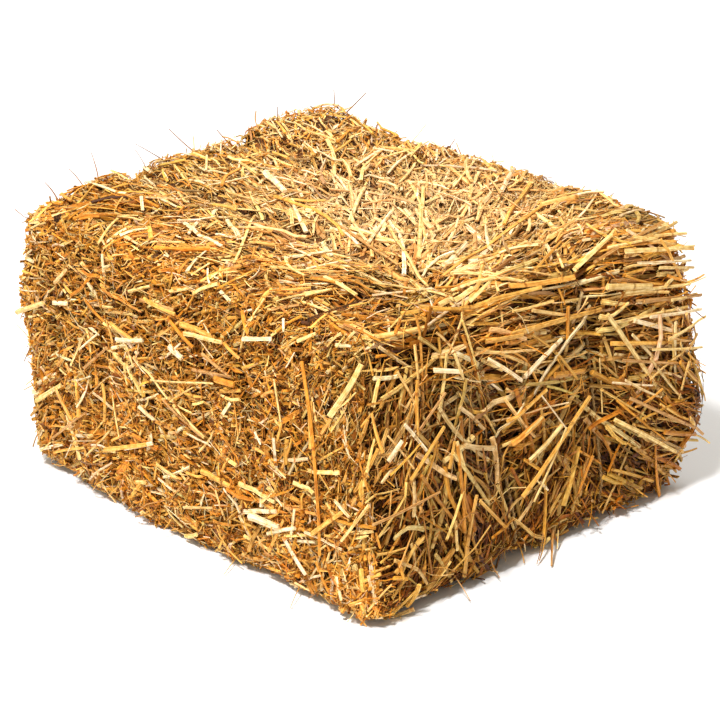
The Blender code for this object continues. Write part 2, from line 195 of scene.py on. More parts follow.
def skin(flake, square):
    """The bale's surface over points of the square box, and its normal.

    The box is rounded by its edge radius, then moved along its normal by lumps, swellings and the flakes'
    shoulders, drawn down to the groove's floor near a twine, and leaned over.
    """
    x0, y0, z0 = square.T
    low = np.where(flake == 0, EDGE_RADIUS - LENGTH / 2, -LENGTH)
    high = np.where(flake == FLAKES - 1, LENGTH / 2 - EDGE_RADIUS, LENGTH)
    half_y = WIDTH / 2 - EDGE_RADIUS
    core = np.stack((
        np.clip(x0, low, high),
        np.clip(y0, -half_y, half_y),
        np.clip(z0, EDGE_RADIUS, HEIGHT - EDGE_RADIUS),
    ), axis=1)
    normal = unit(square - core)
    point = core + normal * EDGE_RADIUS
    below = normal[:, 2] < -0.9
    drop = shoulder(flake, x0, below)
    rise = LUMP_HEIGHT * lumps(point, LUMP_SIZE, 3) + FLAKE_SHIFTS[flake]
    for middle, reach, height in SWELLINGS:
        away = np.linalg.norm(square - np.array(middle), axis=1) / reach
        rise = rise + height * np.exp(-away ** 2)
    point = point + normal * (np.where(below, 0.0, rise) - drop)[:, None]
    across = from_twine(x0, y0, z0)
    sunk = 1.0 - np.clip((across - GROOVE_FLOOR) / (GROOVE_HALF - GROOVE_FLOOR), 0.0, 1.0)
    sunk = np.where(np.abs(normal[:, 1]) < 0.6, sunk, 0.0)[:, None]
    floor = groove_floor(x0, z0, -drop)
    grooved = np.stack((floor[:, 0], y0, floor[:, 1]), axis=1)
    return settled(flake, x0, point * (1.0 - sunk) + grooved * sunk), normal


# Each face of the bale: its first and second direction in its plane, and its outward direction
FACES = {
    "cut side": np.array(((1.0, 0, 0), (0, 0, 1), (0, -1, 0))),
    "top": np.array(((1.0, 0, 0), (0, 1, 0), (0, 0, 1))),
    "front end": np.array(((0, 1.0, 0), (0, 0, 1), (1, 0, 0))),
    "folded side": np.array(((-1.0, 0, 0), (0, 0, 1), (0, 1, 0))),
    "far end": np.array(((0, -1.0, 0), (0, 0, 1), (-1, 0, 0))),
    "underside": np.array(((-1.0, 0, 0), (0, 1, 0), (0, 0, -1))),
}
SQUARE_CM_IN_M = 1e4
# A straw may stand out this much further than its middle does
SLACK = 0.001
# No point of the straws is lower than this
LOWEST = 0.0002
BOX_MIDDLE = np.array((0.0, 0.0, HEIGHT / 2))
BOX_HALF = np.array((LENGTH / 2, WIDTH / 2, HEIGHT / 2))
CORE_LOW = BOX_MIDDLE - BOX_HALF + EDGE_RADIUS
CORE_HIGH = BOX_MIDDLE + BOX_HALF - EDGE_RADIUS


def half_sizes(face):
    """Half the face's extent along its first and its second direction."""
    first, second, out = np.abs(FACES[face])
    return np.array((first @ BOX_HALF, second @ BOX_HALF))


def scattered(face, per_square_cm):
    """Places spread evenly and at random over a face, measured from its middle along its two directions."""
    sizes = half_sizes(face)
    count = int(4 * sizes[0] * sizes[1] * SQUARE_CM_IN_M * per_square_cm)
    return CHANCE.uniform(-1, 1, (count, 2)) * sizes


def beyond_box(point):
    """How far points stand outside the rounded box, less than 0 inside it, and the direction straight out
    of it.
    """
    upright = point + np.array((LEAN, 0.0, 0.0)) * (point[..., 2:] / HEIGHT - 0.5)
    core = np.clip(upright, CORE_LOW, CORE_HIGH)
    away = upright - core
    return np.linalg.norm(away, axis=-1) - EDGE_RADIUS, unit(away)


def on_box(face, place):
    """Points of the square box at places on a face."""
    first, second, out = FACES[face]
    return BOX_MIDDLE + out * (np.abs(out) @ BOX_HALF) + place[..., :1] * first + place[..., 1:] * second


def cut_to_face(face, spot, run, half, overhang):
    """Middles and half lengths of straws, without what passes the face's edges by more than the overhang.

    A straw is spot + t run for t from -half to half. Each direction of the face bounds t where the straw
    meets the edge.
    """
    limit = half_sizes(face) + overhang[:, None]
    step = np.where(np.abs(run) < 1e-6, 1e-6, run)
    one, other = (-limit - spot) / step, (limit - spot) / step
    low = np.maximum(-half, np.max(np.minimum(one, other), axis=1))
    high = np.minimum(half, np.min(np.maximum(one, other), axis=1))
    return spot + run * ((low + high) / 2)[:, None], (high - low) / 2


def on_skin(face, place, height):
    """Points at a height over the skin at places on a face, and the normals there; past the edge they go
    straight on.
    """
    first, second, out = FACES[face]
    sizes = half_sizes(face)
    inside = np.clip(place, -sizes, sizes)
    square = on_box(face, inside).reshape(-1, 3)
    point, normal = skin(flake_at(square[:, 0]), square)
    shape = place.shape[:-1] + (3,)
    point, normal = point.reshape(shape), normal.reshape(shape)
    past = place - inside
    return point + normal * height[..., None] + past[..., :1] * first + past[..., 1:] * second, normal


def laid(face, spot, turn, rise, length, height, bend, kink, rings, overhang, drape):
    """Centre lines of straws on one face of the bale, their upward directions and the flakes that they
    belong to.

    A straw runs from its foot at t = -1 to t = 1, turned from the face's first direction towards its second
    and cut off at the face's edge. It is bowed sideways by bend times its length as 1 - t^2 and kinked past
    t = kink place. One line through its middle is stiff and touches the skin there; another follows the
    skin all along. The straw is the mix of the two by its drape, raised by the sine of its rise, and
    pressed inwards where it stands out of the rounded box by more than its middle and the overhang do.
    """
    first, second, out = FACES[face]
    run = np.stack((np.cos(turn), np.sin(turn)), axis=1)
    middle, half = cut_to_face(face, spot, run, length / 2, overhang)
    t = np.linspace(-1.0, 1.0, rings)[None, :, None]
    kink_at = CHANCE.uniform(-0.5, 0.5, len(spot))[:, None, None]
    sideways = 2 * bend[:, None, None] * (0.5 - t * t) + kink[:, None, None] * np.maximum(0.0, t - kink_at)
    across = np.stack((-run[:, 1], run[:, 0]), axis=1)
    reach = half[:, None, None]
    place = middle[:, None, :] + reach * (run[:, None, :] * t + across[:, None, :] * sideways)
    soft, normals = on_skin(face, place, np.repeat(height[:, None], rings, axis=1))
    point, normal = on_skin(face, middle, height)
    along = run[:, :1] * first + run[:, 1:] * second
    along = unit(along - normal * np.sum(along * normal, axis=1, keepdims=True))
    side = np.cross(normal, along)
    stiff = point[:, None, :] + reach * (along[:, None, :] * t + side[:, None, :] * sideways)
    path = stiff + (soft - stiff) * drape[:, None, None]
    path = path + normal[:, None, :] * t * reach * np.sin(rise)[:, None, None]
    allowed = (np.maximum(0.0, beyond_box(point)[0]) + SLACK + overhang)[:, None]
    stands, outward = beyond_box(path)
    sizes = half_sizes(face)
    square = on_box(face, np.clip(middle, -sizes, sizes))
    return path - outward * np.maximum(0.0, stands - allowed)[..., None], normal, flake_at(square[:, 0])


def tubes(path, tangent, upward, half_width, half_depth, twist, sides):
    """Rings of points round many centre lines at once.

    Ring i is the centre plus half_width cos(a) across plus half_depth sin(a) over, where across = upward x
    tangent, over = tangent x across, both turned by the twist of that ring, and a goes round in equal
    steps.
    """
    across = unit(np.cross(upward[:, None, :], tangent))
    over = np.cross(tangent, across)
    cos, sin = np.cos(twist)[..., None], np.sin(twist)[..., None]
    across, over = across * cos + over * sin, over * cos - across * sin
    angle = (np.arange(sides) + 0.5) * 2 * math.pi / sides
    ring = across[:, :, None, :] * (half_width[..., None] * np.cos(angle))[..., None]
    ring = ring + over[:, :, None, :] * (half_depth[..., None] * np.sin(angle))[..., None]
    return path[:, :, None, :] + ring


def tube_faces(straws, rings, sides):
    """Corner numbers of the tubes' sides, as quads, and of their two caps, for points counted ring by ring.
    """
    start = (np.arange(straws) * rings * sides)[:, None, None]
    i = (np.arange(rings - 1) * sides)[None, :, None]
    j = np.arange(sides)[None, None, :]
    after = (j + 1) % sides
    this, following = start + i, start + i + sides
    quads = np.stack((this + j, this + after, following + after, following + j), axis=-1)
    near = start[:, :, 0] + np.arange(sides)[None, ::-1]
    far = start[:, :, 0] + (rings - 1) * sides + np.arange(sides)[None, :]
    return quads.reshape(-1, 4), np.concatenate((near, far))


# Each straw's map starts at random within this many metres, so that no two straws have the same marks
MAP_SPAN = 9.0


def tube_map(path, half_width, sides):
    """Map of the tubes in metres: u runs along the straw and v round it, each from a random start."""
    straws, rings = half_width.shape
    step = np.linalg.norm(np.diff(path, axis=1), axis=2)
    u = np.concatenate((np.zeros((straws, 1)), np.cumsum(step, axis=1)), axis=1)
    u = u + CHANCE.uniform(0, MAP_SPAN, (straws, 1))
    round_it = 2 * math.pi * half_width.mean(axis=1) / sides
    v = CHANCE.uniform(0, MAP_SPAN, (straws, 1)) + np.arange(sides + 1)[None, :] * round_it[:, None]
    low_u, high_u = u[:, :-1, None], u[:, 1:, None]
    low_v, high_v = v[:, None, :-1], v[:, None, 1:]
    corners = ((low_u, low_v), (low_u, high_v), (high_u, high_v), (high_u, low_v))
    whole = np.zeros((straws, rings - 1, sides))
    quads = [np.stack(np.broadcast_arrays(*pair, whole)[:2], axis=-1) for pair in corners]
    cap_v = v[:, :-1]
    near = np.stack(np.broadcast_arrays(u[:, :1], cap_v[:, ::-1]), axis=-1)
    far = np.stack(np.broadcast_arrays(u[:, -1:], cap_v), axis=-1)
    return np.stack(quads, axis=3).reshape(-1, 4, 2), np.concatenate((near, far))


PILE = []


def pile_up(face, laid_straws, half_width, half_depth, twist, colour, sides, smooth, tangent=None):
    """Puts straws of one kind on the pile, with the directions of their centre lines."""
    path, upward, flake = laid_straws
    if tangent is None:
        tangent = unit(np.gradient(path, axis=1))
    PILE.append({
        "face": face, "path": path, "tangent": tangent, "upward": upward, "flake": flake,
        "half_width": half_width, "half_depth": half_depth, "twist": twist, "colour": colour,
        "sides": sides, "smooth": smooth,
    })


# Straws may pass the solids' box by this much, and are left out where they would pass it by more
PROUD = 0.014
LOW_LIMIT = np.array((*CAD_BOX[0][:2], 0.0)) - (PROUD, PROUD, 0.0)
HIGH_LIMIT = np.array(CAD_BOX[1]) + PROUD


def chosen(kind, flake):
    """The straws of one kind that belong to a flake, and stay inside the limits."""
    path = kind["path"]
    inside = np.all((path > LOW_LIMIT) & (path < HIGH_LIMIT), axis=(1, 2))
    return np.flatnonzero((kind["flake"] == flake) & inside)


class MeshParts:
    """Points, faces, map, colours and smoothness that are gathered for one mesh."""

    def __init__(self):
        self.points, self.colours, self.faces, self.maps, self.smooth, self.material = [], [], [], [], [], []
        self.count = 0

    def add(self, points, colours, faces, maps, smooth, material):
        """Adds one block of points with any number of face arrays, each of one corner count."""
        for face, uv, flag in zip(faces, maps, smooth):
            self.faces.append(face + self.count)
            self.maps.append(uv)
            self.smooth.append(np.full(len(face), flag))
            self.material.append(np.full(len(face), material))
        self.points.append(points.reshape(-1, 3))
        self.colours.append(colours.reshape(-1, 3))
        self.count += len(self.points[-1])

    def mesh(self, name):
        """The Blender mesh."""
        points = np.concatenate(self.points)
        points[:, 2] = np.maximum(points[:, 2], LOWEST)
        corners = np.concatenate([f.ravel() for f in self.faces])
        sizes = np.concatenate([np.full(len(f), f.shape[1]) for f in self.faces])
        data = bpy.data.meshes.new(name)
        data.vertices.add(len(points))
        data.vertices.foreach_set("co", points.ravel())
        data.loops.add(len(corners))
        data.loops.foreach_set("vertex_index", corners.astype(np.int32))
        data.polygons.add(len(sizes))
        starts = np.concatenate(([0], np.cumsum(sizes)[:-1]))
        data.polygons.foreach_set("loop_start", starts.astype(np.int32))
        data.polygons.foreach_set("use_smooth", np.concatenate(self.smooth).astype(bool))
        data.polygons.foreach_set("material_index", np.concatenate(self.material).astype(np.int32))
        data.update(calc_edges=True)
        uv = data.uv_layers.new(name="along_straw")
        uv.data.foreach_set("uv", np.concatenate([m.reshape(-1, 2) for m in self.maps]).ravel())
        colours = np.concatenate(self.colours)
        layer = data.color_attributes.new(name="straw_colour", type="FLOAT_COLOR", domain="POINT")
        rgba = np.concatenate((np.clip(colours, 0.0, 1.0), np.ones((len(colours), 1))), axis=1)
        layer.data.foreach_set("color", rgba.ravel())
        return data


def add_kind(parts, kind, pick):
    """Adds the chosen straws of one kind to the mesh's parts."""
    if len(pick) == 0:
        return
    path, sides = kind["path"][pick], kind["sides"]
    half_width = kind["half_width"][pick]
    rings = path.shape[1]
    sizes = half_width, kind["half_depth"][pick], kind["twist"][pick]
    points = tubes(path, kind["tangent"][pick], kind["upward"][pick], *sizes, sides)
    colours = np.broadcast_to(kind["colour"][pick][:, :, None, :], points.shape)
    quads, caps = tube_faces(len(pick), rings, sides)
    quad_map, cap_map = tube_map(path, half_width, sides)
    parts.add(points, colours, (quads, caps), (quad_map, cap_map), (kind["smooth"], False), 0)


# Painted shade by depth: straws are darker the deeper they lie and a little brighter where they stand out,
# and shaded straws take on the shade's tint
DEPTH_FOR_SHADE = (-0.020, -0.011, -0.004, 0.0, 0.003)
SHADE_BY_DEPTH = (0.16, 0.36, 0.78, 1.0, 1.10)
SHADE_TINT = np.array((1.0, 0.78, 0.22))
# Painted shade low on the end: the straw there is painted darker and browner
LOW_END_SHADE_TINT = np.array((0.94, 0.78, 0.43))
# On the end the painted shade in the gaps is stronger: depths count this much more there
DEEPER_SHADE = {"front end": 1.35}
PATCH_SIZE = 0.06
# Brightness of each flake's cut side, from the far end
FLAKE_TONES = np.array((0.88, 0.88, 1.00, 0.88, 0.88, 0.98, 0.88))
# Painted shade along the seams between flakes and in the twines' grooves
SEAM_SHADE_REACH = 0.005
SEAM_SHADE_STRENGTH = 0.30
GROOVE_SHADE_STRENGTH = 0.40
GROOVE_SHADE_REACH = 0.011
PATCHINESS = 0.15
# Painted shade on the front end: brightness by height over its middle, darker towards the bottom, and how
# much of the low end's painted shade tint it has
END_SHADE_BY_HEIGHT = ((-0.13, 0.06), (0.72, 1.0))
END_SHADE_TINTED = ((-0.10, 0.05), (1.0, 0.25))
# The place's tone, with its painted light and shade, is raised to a power that falls from deep down to the
# outermost straws
TONE_DEPTHS = (-0.006, 0.0005)
TONE_POWERS = (1.15, 0.55)
# How much straws differ in brightness, in each of red, green and blue, and along their own length
STRAWS_VARY = 0.11
CHANNELS_VARY = 0.04
RINGS_VARY = 0.12
DARKEST = 0.004
BRIGHTEST = 0.93

# Painted shade and painted light: places that are darker, painted shade where the straw is parted, or
# paler, painted light and bleached straw: by the face's two directions from its middle and reach, in mm,
# and brightness
SHADES = {
    "top": (
        (176, -127, 30, 0.50), (224, -127, 28, 0.60), (76, -136, 30, 0.85), (-221, 110, 60, 1.55),
        (-74, 220, 45, 1.55), (-200, -160, 30, 0.85), (230, 215, 50, 0.36), (210, 50, 50, 0.72),
        (-30, 0, 70, 0.90), (-150, -160, 60, 0.80), (235, -190, 35, 0.60),
    ),
    "cut side": (
        (262, 120, 35, 0.60), (178, 1, 26, 0.58), (193, -100, 28, 0.62), (90, -90, 28, 0.80),
        (-176, 35, 26, 0.66), (-235, 60, 20, 0.80), (245, -125, 45, 1.60), (265, 144, 30, 0.75),
        (-100, 140, 50, 0.86), (34, 101, 30, 1.20), (260, -25, 26, 1.26), (156, 51, 24, 1.25),
        (-38, 130, 30, 1.18),
    ),
    "front end": (
        (-117, 32, 28, 0.40), (-94, -21, 34, 0.46), (-39, -75, 26, 0.52), (25, 33, 24, 0.50),
        (52, -28, 32, 0.56), (118, -91, 32, 0.52), (75, 10, 30, 0.80), (-100, -110, 30, 0.78),
        (-65, 100, 30, 2.20), (124, 125, 36, 1.50), (195, 90, 50, 2.20), (129, 21, 20, 1.35),
        (-161, -59, 26, 0.58), (-139, 106, 22, 0.62), (40, 140, 22, 0.75), (-215, -120, 40, 1.70),
        (-180, -10, 30, 1.35), (215, 144, 20, 0.55), (-135, 140, 28, 0.64),
    ),
}


def place_shade_and_tone(face, spot):
    """How bright a place is: painted shade near the seams, in the twines' grooves and low on the front end, a
    brightness by flake on the cut side, and the painted shade and light of the shades, each as
    1 + (brightness - 1) exp(-(distance/reach)^2).
    """
    square = on_box(face, spot)
    tone = np.ones(len(spot))
    if face not in ("front end", "far end"):
        away = np.min(np.abs(square[:, :1] - SEAMS[None, 1:-1]), axis=1)
        tone = tone - SEAM_SHADE_STRENGTH * np.exp(-(away / SEAM_SHADE_REACH) ** 2)
    if face == "cut side":
        tone = tone * FLAKE_TONES[flake_at(square[:, 0])]
    if face == "front end":
        tone = tone * np.interp(spot[:, 1], *END_SHADE_BY_HEIGHT)
    if face not in ("cut side", "folded side"):
        across = from_twine(*square.T)
        tone = tone * (1.0 - GROOVE_SHADE_STRENGTH * np.exp(-(across / GROOVE_SHADE_REACH) ** 2))
    for a, b, reach, share in SHADES.get(face, ()):
        away = np.linalg.norm(spot - np.array((a, b)) / MM, axis=1) / (reach / MM)
        tone = tone * (1.0 + (share - 1.0) * np.exp(-away ** 2))
    return tone * (1.0 + PATCHINESS * lumps(square, PATCH_SIZE, 11))


def coloured(count, rings, weights, height, tone, bleach):
    """Colours of straws: one of the palette's by its weight for that straw, changed a little, bleached
    towards cream by a share, with painted shade deep down and the place's painted light and shade, which
    tells less on the outermost straws.
    """
    share = np.broadcast_to(np.array(weights, dtype=float), (count, len(PALETTE)))
    rank = np.cumsum(share, axis=1)
    pick = (CHANCE.random(count)[:, None] * rank[:, -1:] > rank).sum(axis=1)
    colour = PALETTE[pick] * CHANCE.normal(1.0, STRAWS_VARY, (count, 1))
    colour = colour * CHANCE.normal(1.0, CHANNELS_VARY, (count, 3))
    colour = colour + (np.array(CREAM) - colour) * bleach[:, None]
    power = np.interp(height, TONE_DEPTHS, TONE_POWERS)
    shade = np.interp(height, DEPTH_FOR_SHADE, SHADE_BY_DEPTH) * tone ** power
    colour = colour * (1.0 - (1.0 - SHADE_TINT) * np.clip(1.0 - shade, 0.0, 1.0)[:, None])
    along = 1.0 + CHANCE.uniform(-RINGS_VARY, RINGS_VARY, (count, rings))
    colour = np.maximum(colour[:, None, :] * shade[:, None, None] * along[:, :, None], DARKEST)
    # What would be too bright is dimmed as a whole, so that it keeps its hue
    return colour * np.minimum(1.0, BRIGHTEST / colour.max(axis=2, keepdims=True))


BLEACHED_AT = np.array((0.050, 0.050))
BLEACHED_REACH = 0.14
BLEACHED_MOST = 0.50


def bleach_of(face, spot):
    """How far the sun has bleached a straw: most round one place on the top, nothing on the other faces."""
    if face != "top":
        return np.zeros(len(spot))
    return BLEACHED_MOST * np.exp(-(np.linalg.norm(spot - BLEACHED_AT, axis=1) / BLEACHED_REACH) ** 2)


def size_shares(face, spot):
    """Shares of a straw's usual length and width at a place: finer towards the far end of the top, at the
    top of the cut side, and by the upright edge between the cut side and the front end.
    """
    if face == "top":
        near = near_cut_edge(face, spot)
        finer = np.interp(spot[:, 0], (-0.20, 0.14), (0.55, 1.0))
        wide = np.interp(spot[:, 0], (-0.20, 0.10), (0.72, 1.0))
        return finer + (0.62 - finer) * near, wide + (0.95 - wide) * near
    if face == "cut side":
        finer = np.interp(spot[:, 1], (-0.10, 0.10), (1.12, 0.82))
        return finer, finer
    if face == "front end":
        near = np.clip((-0.150 - spot[:, 0]) / 0.06, 0.0, 1.0)
        return 1.0 - 0.55 * near, 1.0 - 0.30 * near
    return np.ones(len(spot)), np.ones(len(spot))


def near_cut_edge(face, spot):
    """Share, 0 to 1, by which a place on top is near the cut side, where the straw is short and orange as
    below it.
    """
    if face != "top":
        return np.zeros(len(spot))
    return np.clip((-0.095 - spot[:, 1]) / 0.06, 0.0, 1.0)


# How much of the cut side's colours the top has by that edge
EDGE_MIX = 0.6


def straws(face, density, turn, length, radius, deep, weights, form, rise=0.05, overhang=(0.0, 0.005),
           spread=(1.3, 2.2)):
    """One kind of straw scattered over a face.

    turn is a function of the places that gives the angles in the face's plane. form says what the straw is:
    rings along it, sides round it, its half thickness as a range of shares of its half width, its bow and its
    share of kinked ones, its half widths along it, its twist, how it drapes, and whether it is smooth.
    """
    spot = scattered(face, density)
    n = len(spot)
    rings = form["rings"]
    height = CHANCE.uniform(*deep, n)
    lengths = length[0] + (length[1] - length[0]) * CHANCE.beta(*spread, n)
    length_share, width_share = size_shares(face, spot)
    lengths = lengths * length_share
    bend = CHANCE.normal(0.0, form["bow"], n)
    kink = np.where(CHANCE.random(n) < form["kinked"], CHANCE.normal(0.0, form["kink"], n), 0.0)
    tilt = CHANCE.normal(0.0, rise, n)
    drape = CHANCE.uniform(*form["drape"], n)
    past = CHANCE.uniform(*overhang, n)
    lying = laid(face, spot, turn(spot), tilt, lengths, height, bend, kink, rings, past, drape)
    width = (radius[0] + (radius[1] - radius[0]) * CHANCE.random(n) ** 1.5) * width_share
    width = width[:, None] * np.interp(np.linspace(0, 1, rings), *form["widths"])[None, :]
    depth = width * CHANCE.uniform(*form["flat"], n)[:, None]
    roll, winding = form["twist"]
    twist = CHANCE.uniform(-roll, roll, n)[:, None]
    twist = twist + CHANCE.normal(0.0, winding, n)[:, None] * np.arange(rings)
    near = near_cut_edge(face, spot)[:, None]
    mixed = np.array(weights) * (1.0 - EDGE_MIX * near) + np.array(CUT_SIDE_COLOURS) * EDGE_MIX * near
    # The front end's painted shade is deeper: heights count more there when the straws are darkened
    shown = height * DEEPER_SHADE.get(face, 1.0)
    colour = coloured(n, rings, mixed, shown, place_shade_and_tone(face, spot), bleach_of(face, spot))
    # Painted shade low on the front end: darker and browner towards the bottom
    if face == "front end":
        low = np.interp(spot[:, 1], *END_SHADE_TINTED)
        colour = colour * (1.0 - (1.0 - LOW_END_SHADE_TINT) * low[:, None])[:, None, :]
    pile_up(face, lying, width, depth, twist, colour, form["sides"], form["smooth"])


TAPER = ((0.0, 1.0), (1.0, 0.86))
STALK = {"rings": 4, "sides": 5, "flat": (0.3, 0.9), "bow": 0.022, "kinked": 0.18, "kink": 0.4,
         "widths": TAPER, "twist": (0.6, 0.12), "drape": (0.3, 1.0), "smooth": False}
FINE_STALK = {**STALK, "rings": 6, "sides": 6, "kinked": 0.22, "flat": (0.3, 0.75), "drape": (0.2, 0.7),
              "bow": 0.018}
DEEP_STALK = {**STALK, "rings": 3, "sides": 4}
BLADE = {"rings": 4, "sides": 4, "flat": (0.10, 0.16), "bow": 0.05, "kinked": 0.35, "kink": 0.6,
         "widths": ((0.0, 0.4, 0.75, 1.0), (0.8, 1.0, 0.85, 0.25)), "twist": (0.9, 0.45), "drape": (0.2, 1.0),
         "smooth": False}
CHIP = {"rings": 2, "sides": 4, "flat": (0.15, 0.6), "bow": 0.0, "kinked": 0.0, "kink": 0.0, "widths": TAPER,
        "twist": (1.3, 0.3), "drape": (0.0, 1.0), "smooth": False}
SPLINTER = {**CHIP, "sides": 3, "flat": (0.5, 1.0)}
FIBRE = {"rings": 4, "sides": 3, "flat": (0.9, 1.0), "bow": 0.11, "kinked": 0.0, "kink": 0.0,
         "widths": ((0.0, 1.0), (1.0, 0.5)), "twist": (1.0, 0.0), "drape": (0.2, 1.0), "smooth": True}


# A stub's rings: foot, outer end, inner edge of the end and floor of its hollow, as shares of its half width
STUB_WIDTHS = np.array((1.0, 1.0, 0.62, 0.50))
HOLLOW_DEPTH = 0.0030
HOLLOW_SHADE = 0.25


def stubs(face, density, length, radius, deep, weights, rise=(0.7, 1.45)):
    """Cut stalk ends that stand out of a face, with a hollow at the outer end."""
    spot = scattered(face, density)
    n = len(spot)
    height = CHANCE.uniform(*deep, n)
    lengths = CHANCE.uniform(*length, n)
    none = np.zeros(n)
    turn = CHANCE.uniform(-math.pi, math.pi, n)
    slope = CHANCE.uniform(*rise, n)
    middle, normal, flake = laid(face, spot, turn, none, lengths, height, none, none, 3, none, none)
    along = unit(middle[:, 2] - middle[:, 0]) * np.cos(slope)[:, None] + normal * np.sin(slope)[:, None]
    foot, tip = middle[:, 1] - along * lengths[:, None] / 2, middle[:, 1] + along * lengths[:, None] / 2
    path = np.stack((foot, tip, tip + along * 0.00005, tip - along * HOLLOW_DEPTH), axis=1)
    width = CHANCE.uniform(*radius, n)[:, None] * STUB_WIDTHS
    depth = width * CHANCE.uniform(0.5, 1.0, n)[:, None]
    colour = coloured(n, 4, weights, height, place_shade_and_tone(face, spot), none)
    colour[:, 3] *= HOLLOW_SHADE
    # Every ring faces along the stalk, because the inner two turn back into it
    tangent = np.repeat(along[:, None, :], 4, axis=1)
    upward = unit(normal + 0.3 * np.roll(normal, 1, axis=1))
    twist = CHANCE.uniform(-1, 1, n)[:, None] + np.zeros((1, 4))
    pile_up(face, (path, upward, flake), width, depth, twist, colour, 6, False, tangent)


def any_turn(spot):
    """Angles at random."""
    return CHANCE.uniform(-math.pi, math.pi, len(spot))


def laid_like(lays, obedient):
    """A turn function: each straw takes the angle of one of the lays, the nearer the likelier, with that
    lay's spread.

    A lay is a place on the face, an angle and a spread in degrees, and a reach, with lengths in mm. Its
    weight is exp(-(distance/reach)^2). A share of the straws, 1 - obedient, lies at random.
    """
    table = np.array(lays)
    place, reach = table[:, :2] / MM, table[:, 4] / MM

    def turn(spot):
        away = np.linalg.norm(spot[:, None, :] - place, axis=2) / reach
        weight = np.exp(-away ** 2) + 1e-6
        rank = np.cumsum(weight, axis=1)
        pick = (CHANCE.random(len(spot))[:, None] * rank[:, -1:] > rank).sum(axis=1)
        angle = np.radians(table[pick, 2] + table[pick, 3] * CHANCE.normal(0.0, 1.0, len(spot)))
        return np.where(CHANCE.random(len(spot)) < obedient, angle, any_turn(spot))

    return turn


# How the straw lies: place along the face's first and second direction, angle, spread and reach
CUT_SIDE_LAYS = (
    (-230, 70, 20, 24, 60), (-200, -50, 38, 22, 70), (-110, 40, -4, 28, 50), (-130, -110, 34, 24, 60),
    (-40, -40, -12, 26, 60), (30, -70, 6, 20, 50), (50, 100, 30, 28, 70), (140, 0, 12, 40, 50),
    (140, -100, 40, 30, 50), (230, 30, 66, 24, 60), (220, -80, 55, 34, 60), (200, 120, 40, 30, 50),
)
END_LAYS = (
    (-210, 60, 58, 36, 40), (-210, -30, 42, 34, 40), (-210, -100, 8, 34, 50), (-145, 50, 76, 24, 40),
    (-145, -60, 78, 20, 50), (-130, 120, -18, 16, 50), (-90, 20, -48, 18, 45), (-90, -60, -66, 20, 50),
    (-80, -130, 42, 30, 30), (-40, 110, -4, 12, 60), (-20, -20, 16, 16, 40), (-30, -120, -84, 22, 40),
    (35, -50, 60, 14, 50), (30, 110, -11, 10, 60), (100, 110, -9, 8, 70), (90, -30, -50, 20, 50),
    (150, -70, -34, 14, 70), (180, 100, -9, 8, 70), (200, 20, -30, 18, 60),
)
# Where the top's straws are gathered by the first twine, from the top's middle
PINCH = np.array((0.225, -0.110))


def top_turn(spot):
    """On top: out from the place where the twine gathers the straw, and near the cut side across that edge.
    """
    away = spot - PINCH
    angle = np.arctan2(away[:, 1], away[:, 0]) + CHANCE.normal(0.0, 0.32, len(spot))
    across = CHANCE.normal(0.60, 0.80, len(spot))
    angle = np.where(CHANCE.random(len(spot)) < near_cut_edge("top", spot), across, angle)
    return np.where(CHANCE.random(len(spot)) < 0.76, angle, any_turn(spot))


def level_turn(spot):
    """Roughly level, as straw lies where it is folded at the chamber's wall."""
    angle = CHANCE.normal(0.0, 0.6, len(spot))
    return np.where(CHANCE.random(len(spot)) < 0.3, any_turn(spot), angle)


cut_side_turn = laid_like(CUT_SIDE_LAYS, 0.62)
end_turn = laid_like(END_LAYS, 0.85)

# Weights of CREAM, PALE, GOLD, ORANGE, TAN, BROWN, GREY and DARK
CUT_SIDE_COLOURS = (5, 11, 27, 40, 3, 13, 0, 1)
CUT_SIDE_BLADES = (8, 15, 34, 36, 2, 5, 0, 0)
CUT_SIDE_FIBRES = (14, 26, 30, 22, 0, 8, 0, 0)
CUT_SIDE_BRIGHT = (28, 32, 28, 12, 0, 0, 0, 0)
TOP_COLOURS = (16, 30, 28, 15, 6, 4, 0, 0)
TOP_BRIGHT = (32, 38, 24, 6, 0, 0, 0, 0)
END_COLOURS = (5, 15, 26, 18, 15, 18, 1, 2)
# The end's deep straws take darker colours: painted shade in the gaps between the layers
END_DEEP_SHADED = (0, 4, 15, 26, 9, 38, 0, 8)
END_BRIGHT = (24, 42, 28, 6, 0, 0, 0, 0)
BACK_COLOURS = (10, 22, 30, 18, 9, 9, 1, 1)
WHISKER_COLOURS = (8, 18, 22, 12, 24, 12, 4, 0)


def whiskers(face, density, turn):
    """Thin stalks that stand out of the face."""
    straws(face, density, turn, (0.022, 0.050), (0.0006, 0.0012), (0.000, 0.004), WHISKER_COLOURS, FIBRE,
           0.55, overhang=(0.006, 0.014))


